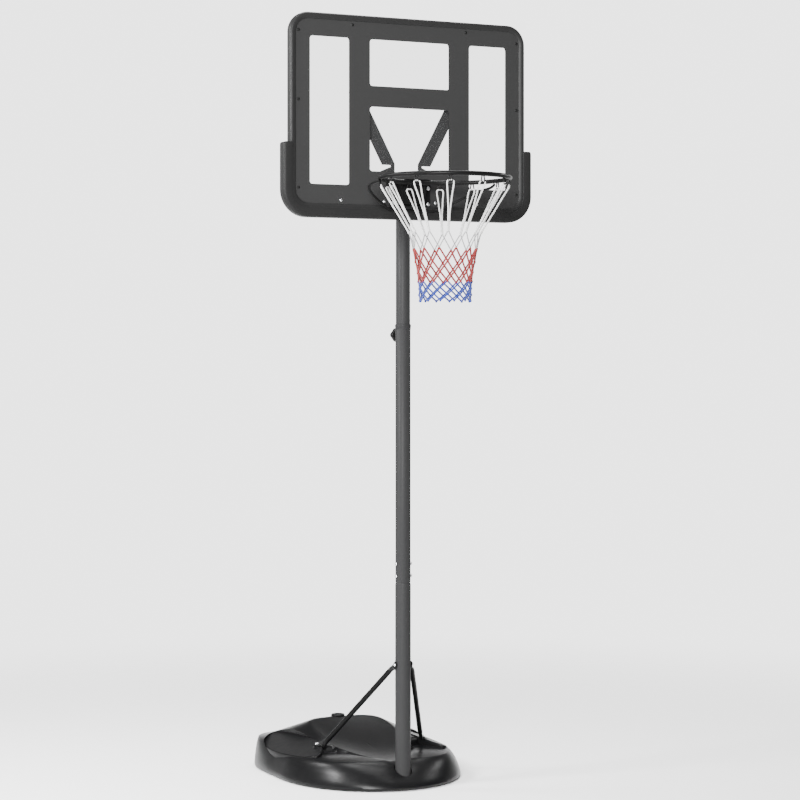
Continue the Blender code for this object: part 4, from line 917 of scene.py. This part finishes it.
def make_struts():
    """Each brace is a run of oval sections from the pole to its pad: (centre, half width, half depth)."""
    tab = 0.002
    radius = 0.0095
    wide = 0.0125
    for side, sign in LEFT_RIGHT:
        pole_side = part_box("pole_lower")[1].x
        top = Vector((sign * (pole_side + FIT + tab + 0.0006), 0, node_frame("strut_bolt_top")[2].z))
        foot = Vector((sign * 0.206, 0.275, FOOT_SEAT_Z + FIT + tab))
        bolt = Vector((sign * FOOT_BOLT[0], FOOT_BOLT[1], foot.z))
        along = (foot - top).normalized()
        drop = Vector((0, along.y, along.z)).normalized()
        across_top = Vector((0, drop.z, -drop.y))
        outward = (bolt - foot).normalized()
        across_foot = Vector((outward.y, -outward.x, 0))
        out = Vector((sign, 0, 0))
        side_axis = along.cross(out).normalized()
        other = side_axis.cross(along).normalized()
        if side_axis.dot(across_top) < 0:
            side_axis, other = -side_axis, -other
        if across_foot.dot(side_axis) < 0:
            across_foot = -across_foot
        up = Vector((0, 0, math.copysign(1, other.z)))
        out_thick = out * math.copysign(1, other.dot(out))
        stations = [(top + along_tab * drop, broad * across_top, share * tab * out_thick)
                    for along_tab, broad, share in TOP_TAB]
        stations.append((top + 0.012 * drop + 0.0016 * out, 0.98 * wide * across_top, 1.3 * tab * out_thick))
        stations += [(top + down * along + shift * out, broad * radius * side_axis, thick * radius * other)
                     for down, shift, broad, thick in TOP_TUBE]
        stations += [(foot - above * along + Vector((0, 0, lift)), broad * radius * side_axis,
                      thick * radius * other) for above, lift, broad, thick in FOOT_TUBE]
        stations.append((foot + 0.006 * outward + Vector((0, 0, 0.0004)), wide * across_foot, 1.1 * tab * up))
        stations += [(bolt + past * outward, broad * wide * across_foot, share * tab * up)
                     for past, broad, share in FOOT_TAB]

        def build(shape):
            rings = []
            for centre, broad, thick in stations:
                flatness = broad.length / max(thick.length, 1e-6)
                power = 1.0 if flatness < 2 else 0.55
                ring = []
                for a in turn_angles(24):
                    c, s = math.cos(a), math.sin(a)
                    ring.append(centre + broad * math.copysign(abs(c) ** power, c)
                                + thick * math.copysign(abs(s) ** power, s))
                rings.append(ring)
            bridge(shape, rings)

        built(f"brace_tube_{side}", build, "black_paint", "base", [f"strut_{side}"], smooth=50)


# Board

def windows(grow):
    """Outlines of the four windows, moved out by grow."""
    half = MIDDLE_WINDOW_HALF
    low, high = SIDE_WINDOW
    boxes = [(-high, -low, SIDE_WINDOW_BOTTOM_Z, WINDOW_TOP_Z),
             (low, high, SIDE_WINDOW_BOTTOM_Z, WINDOW_TOP_Z),
             (-half, half, UPPER_WINDOW_BOTTOM_Z, WINDOW_TOP_Z),
             (-half, half, TARGET_BOTTOM_Z, TARGET_TOP_Z)]
    return [rounded_box(left - grow, right + grow, bottom - grow, top + grow, WINDOW_CORNER + grow)
            for left, right, bottom, top in boxes]


def frame_pockets():
    """Outlines of the hollows between the ribs on the frame's back."""
    boxes = list(MIDDLE_POCKETS)
    for left, right, bottom, top in SIDE_POCKETS:
        boxes += [(left, right, bottom, top), (-right, -left, bottom, top)]
    return [rounded_box(*box, 0.005, 4) for box in boxes]


def framed(name, profile):
    """A closed ring around the board: each (inset, y) point of its section follows the outline."""
    low, high, _ = node_frame("board_frame")

    def build(shape):
        rings = []
        for inset, y in profile:
            outline = rounded_box(low.x + inset, high.x - inset, low.z + inset, high.z - inset,
                                  FRAME_CORNER - inset, 16)
            rings.append([(x, y, z) for x, z in outline])
        bridge(shape, rings, cyclic=True)

    built(name, build, "frame", "upper", smooth=50)


def make_board():
    low, high, _ = node_frame("board_frame")
    face_low, face_high, _ = node_frame("board_facing")
    sheet_low, sheet_high, _ = node_frame("board_sheet")
    inner = face_low.x - low.x
    corner = FRAME_CORNER - inner
    outline = rounded_box(face_low.x, face_high.x, face_low.z, face_high.z, corner, 14)
    facing = prisms("facing_panel", [outline], face_low.y, face_high.y, "facing", "upper", ["board_facing"])
    cut(facing, [prisms("facing_windows", windows(0.0), face_low.y - 0.01, face_high.y + 0.01)])
    bevel(facing, 0.00025, 1)
    sheet = prisms("clear_panel", [outline], sheet_low.y, sheet_high.y, "clear", "upper", ["board_sheet"])
    bevel(sheet, 0.0004, 1)
    plate_front = sheet_high.y + FIT
    back = high.y
    edge = 0.012
    plate_outline = rounded_box(low.x + edge, high.x - edge, low.z + edge, high.z - edge,
                                FRAME_CORNER - edge, 12)
    plate = prisms("frame_panel", [plate_outline], plate_front, back, "frame", "upper", ["board_frame"])
    cutters = [prisms("frame_windows", windows(FRAME_SETBACK), plate_front - 0.02, back + 0.02),
               prisms("frame_pockets", frame_pockets(), plate_front + FRAME_SKIN, back + 0.02)]
    cut(plate, cutters)
    bevel(plate, 0.0012, 2)
    front = low.y
    rim = [(0.0042, back - 0.0004), (0.0012, back - 0.0030), (0.0, back - 0.0070), (0.0, front + 0.0100),
           (0.0008, front + 0.0060), (0.0026, front + 0.0028), (0.0056, front + 0.0007), (0.0095, front),
           (0.0130, front + 0.0006), (0.0160, front + 0.0014), (0.0195, front + 0.0031),
           (0.0225, front + 0.0048), (inner - 0.0008, front + 0.0056), (inner - 0.0003, front + 0.0062),
           (inner - 0.0003, back - 0.0004), (0.0208, back - 0.0004), (0.0204, back - 0.0010),
           (0.0204, front + 0.0090), (0.0196, front + 0.0080), (0.0052, front + 0.0080),
           (0.0044, front + 0.0090), (0.0044, back - 0.0010)]
    framed("frame_rim", rim)
    make_guard()


def make_guard():
    low, high, _ = node_frame("board_guard")
    frame_low, frame_high, _ = node_frame("board_frame")
    wide, bottom, top = high.x, low.z, high.z

    def path(inset):
        """Right half of a U, this far in from the guard's edge, from its top to the middle of its bottom."""
        corner = GUARD_CORNER - inset
        points = [(wide - inset, top)]
        points += arc((wide - inset - corner, bottom + inset + corner), corner, 0, -90, 16)
        points.append((0.0, bottom + inset))
        return points

    lip_inset = wide - (frame_high.x - GUARD_LIP)
    pocket_inset = wide - frame_high.x - 0.0004
    front, back = low.y, high.y
    pocket_y = frame_low.y - 0.0004
    section = [(0.0, back - 0.002), (0.0, front + 0.0085), (0.0010, front + 0.0045), (0.0034, front + 0.0014),
               (0.0075, front + 0.0001), (0.013, front), (lip_inset - 0.0022, front),
               (lip_inset - 0.0006, front + 0.0006), (lip_inset, front + 0.0016), (lip_inset, pocket_y),
               (pocket_inset, pocket_y), (pocket_inset, back), (0.002, back)]
    eased_depth = 0.012

    def shrink(x):
        """1 at the guard's outer edge, falling to 0 a little inside it."""
        return max(0.0, (abs(x) - (wide - eased_depth)) / eased_depth)

    def build(shape):
        rings = []
        half = [path(inset) for inset, _ in section]
        for k in range(len(half[0])):
            rings.append([(half[i][k][0], section[i][1], half[i][k][1]) for i in range(len(section))])
        rings += [[(-x, y, z) for x, y, z in ring] for ring in rings[-2::-1]]
        eased = []
        for drop, pull in ((0.0, 0.0080), (0.0008, 0.0048), (0.0026, 0.0022), (0.0055, 0.0006)):
            eased.append([(x - math.copysign(pull * shrink(x), x), y, z - drop) for x, y, z in rings[0]])
        rings = eased + [[(x, y, top - eased_depth) for x, y, z in rings[0]]] + rings[1:]
        tail = [[(-x, y, z) for x, y, z in ring] for ring in rings[:5]][::-1]
        rings = rings[:-1] + tail
        bridge(shape, rings)

    built("guard_pad", build, "guard", "upper", ["board_guard"], smooth=45)


# Rear bracket and rim

def dress_node(node, look):
    """Keep a CAD node's shape, merge its flat faces and ease its edges."""
    made = NODES[node]
    flat = made.modifiers.new("flat", 'DECIMATE')
    flat.decimate_type = 'DISSOLVE'
    flat.angle_limit = math.radians(1)
    bevel(made, 0.0006, 2, 40)
    made.data.materials.clear()
    made.data.materials.append(MATERIALS[look])


def on_ring(angle, radius, z, centre):
    return Vector((centre.x + radius * math.cos(angle), centre.y + radius * math.sin(angle), z))


def ring_facts():
    """Centre and radius of the ring's middle line, and the height of the hooks' lowest points."""
    low, high, middle = node_frame("rim_ring")
    outer = (high.x - low.x) / 2
    centre = Vector((middle.x, middle.y, high.z - RING_ROD))
    return centre, outer - RING_ROD, low.z


def hook_angles():
    return [a + HOOK_PHASE for a in turn_angles(HOOK_COUNT)]


def make_rim():
    centre, radius, hook_bottom = ring_facts()

    def ring(shape):
        points = [on_ring(a, radius, centre.z, centre) for a in turn_angles(160)]
        tube_along(shape, points, RING_ROD, 24, cyclic=True)

    built("ring_rod", ring, "black_paint", "upper", ["rim_ring"], smooth=60)

    def hooks(shape):
        for angle in hook_angles():
            tangent = Vector((-math.sin(angle), math.cos(angle), 0))
            base = on_ring(angle, radius, 0, centre)
            start = centre.z - 0.7 * RING_ROD
            bottom = hook_bottom + HOOK_WIRE
            half = [(0.0035, start), (0.0050, start - 0.005), (0.0066, bottom + 0.0115),
                    (0.0070, bottom + 0.006), (0.0052, bottom + 0.0016)]
            route = [(-t, z) for t, z in half] + [(0.0, bottom)] + half[::-1]
            points = smooth_through([base + tangent * t + Vector((0, 0, z)) for t, z in route], 4)
            tube_along(shape, points, HOOK_WIRE, 10)

    built("ring_hooks", hooks, "black_paint", "upper", smooth=60)
    route = [(-x, y, z) for x, y, z in BRACE_HALF[:0:-1]] + list(BRACE_HALF)

    def brace(shape):
        tube_along(shape, smooth_through(route, 10), BRACE_ROD, 16)

    built("brace_rod", brace, "black_paint", "upper", ["rim_brace"], smooth=60)
    dress_node("rim_mount", "black_paint")

    def welds(shape):
        for sign in (-1, 1):
            along = [on_ring(math.pi / 2 + sign * a, radius - 0.001, centre.z + 0.0070, centre)
                     for a in [0.03 + 0.018 * k for k in range(9)]]
            tube_along(shape, along, [0.0012 + 0.0005 * math.sin(2.1 * k) for k in range(9)], 8)

    built("mount_welds", welds, "black_paint", "upper", smooth=60)


# Net

def sagging(start, end, droop, steps, centre):
    """A cord's route between two knots, bowed a little towards the axis."""
    points = []
    for k in range(steps + 1):
        t = k / steps
        point = start.lerp(end, t)
        bow = 4 * t * (1 - t)
        away = Vector((point.x - centre.x, point.y - centre.y, 0)).normalized()
        points.append(point - away * droop * bow)
    return points


def make_net():
    centre, radius, hook_bottom = ring_facts()
    hook_z = hook_bottom + 0.0042
    rows = []
    for row, (height, row_radius) in enumerate(NET_ROWS):
        knots = []
        for i in range(HOOK_COUNT):
            angle = 2 * math.pi * (i + 0.5 * (row % 2)) / HOOK_COUNT + HOOK_PHASE
            jitter = KNOT_JITTER if row else KNOT_JITTER / 2
            knots.append(on_ring(angle + random.uniform(-1, 1) * jitter / row_radius, row_radius,
                                 height + random.uniform(-1, 1) * jitter, centre))
        rows.append(knots)

    def knot(shape, place, size):
        made = bmesh.ops.create_icosphere(shape, subdivisions=2, radius=size)
        stretch = Matrix.Diagonal((1.0, 1.0, 1.25, 1.0))
        bmesh.ops.transform(shape, matrix=Matrix.Translation(place) @ stretch, verts=made["verts"])

    def loops(shape):
        for angle, end in zip(hook_angles(), rows[0]):
            tangent = Vector((-math.sin(angle), math.cos(angle), 0))
            inward = Vector((-math.cos(angle), -math.sin(angle), 0))
            hook = on_ring(angle, radius, hook_z, centre)
            merge = hook.lerp(end, 0.60)
            for sign in (-1, 1):
                route = [hook + tangent * sign * 0.0020 + Vector((0, 0, 0.0030)) + inward * 0.001,
                         hook + tangent * sign * 0.0085 + Vector((0, 0, 0.0012)) + inward * 0.002,
                         hook + tangent * sign * 0.0120 + Vector((0, 0, -0.008)) + inward * 0.005,
                         hook.lerp(end, 0.28) + tangent * sign * 0.0078,
                         merge + tangent * sign * 0.0030,
                         end.lerp(merge, 0.45) + tangent * sign * 0.0023,
                         end + tangent * sign * 0.0016]
                tube_along(shape, smooth_through(route, 6), LOOP_CORD, 10)
            knot(shape, end, LOOP_KNOT)

    built("net_loops", loops, "white", "upper", ["net"], smooth=60)

    def band(first, last, knot_size, cord):
        """A builder of the cords and knots between two rows."""
        def build(shape):
            for row in range(first, last):
                for i in range(HOOK_COUNT):
                    start = rows[row][i]
                    shift = 0 if row % 2 == 0 else 1
                    for neighbour in (i - 1 + shift, i + shift):
                        end = rows[row + 1][neighbour % HOOK_COUNT]
                        tube_along(shape, sagging(start, end, 0.0015, 6, centre), cord, 8)
                    if row > first:
                        knot(shape, start, knot_size)
            for place in rows[last]:
                knot(shape, place, knot_size)
        return build

    # (name, look, first row, last row, knot radius, cord radius)
    bands = (("net_white_mesh", "painted_shade_white", 0, WHITE_ROWS, 0.0030, 0.0021),
             ("net_red_mesh", "red", WHITE_ROWS, RED_ROWS, 0.0046, 0.0033),
             ("net_blue_mesh", "blue", RED_ROWS, len(NET_ROWS) - 1, 0.0043, 0.0031))
    for name, look, first, last, knot_size, cord in bands:
        built(name, band(first, last, knot_size, cord), look, "upper", smooth=60)


# Everything

set_stage()
make_tank()
make_filler()
make_wheels()
make_pole()
make_knob()
make_fasteners()
make_struts()
make_board()
make_rim()
make_net()
for kept, look in (("rear_arm_left", "bracket"), ("rear_arm_right", "bracket"), ("pole_bracket", "bracket"),
                   ("filler_gasket", "seal")):
    dress_node(kept, look)
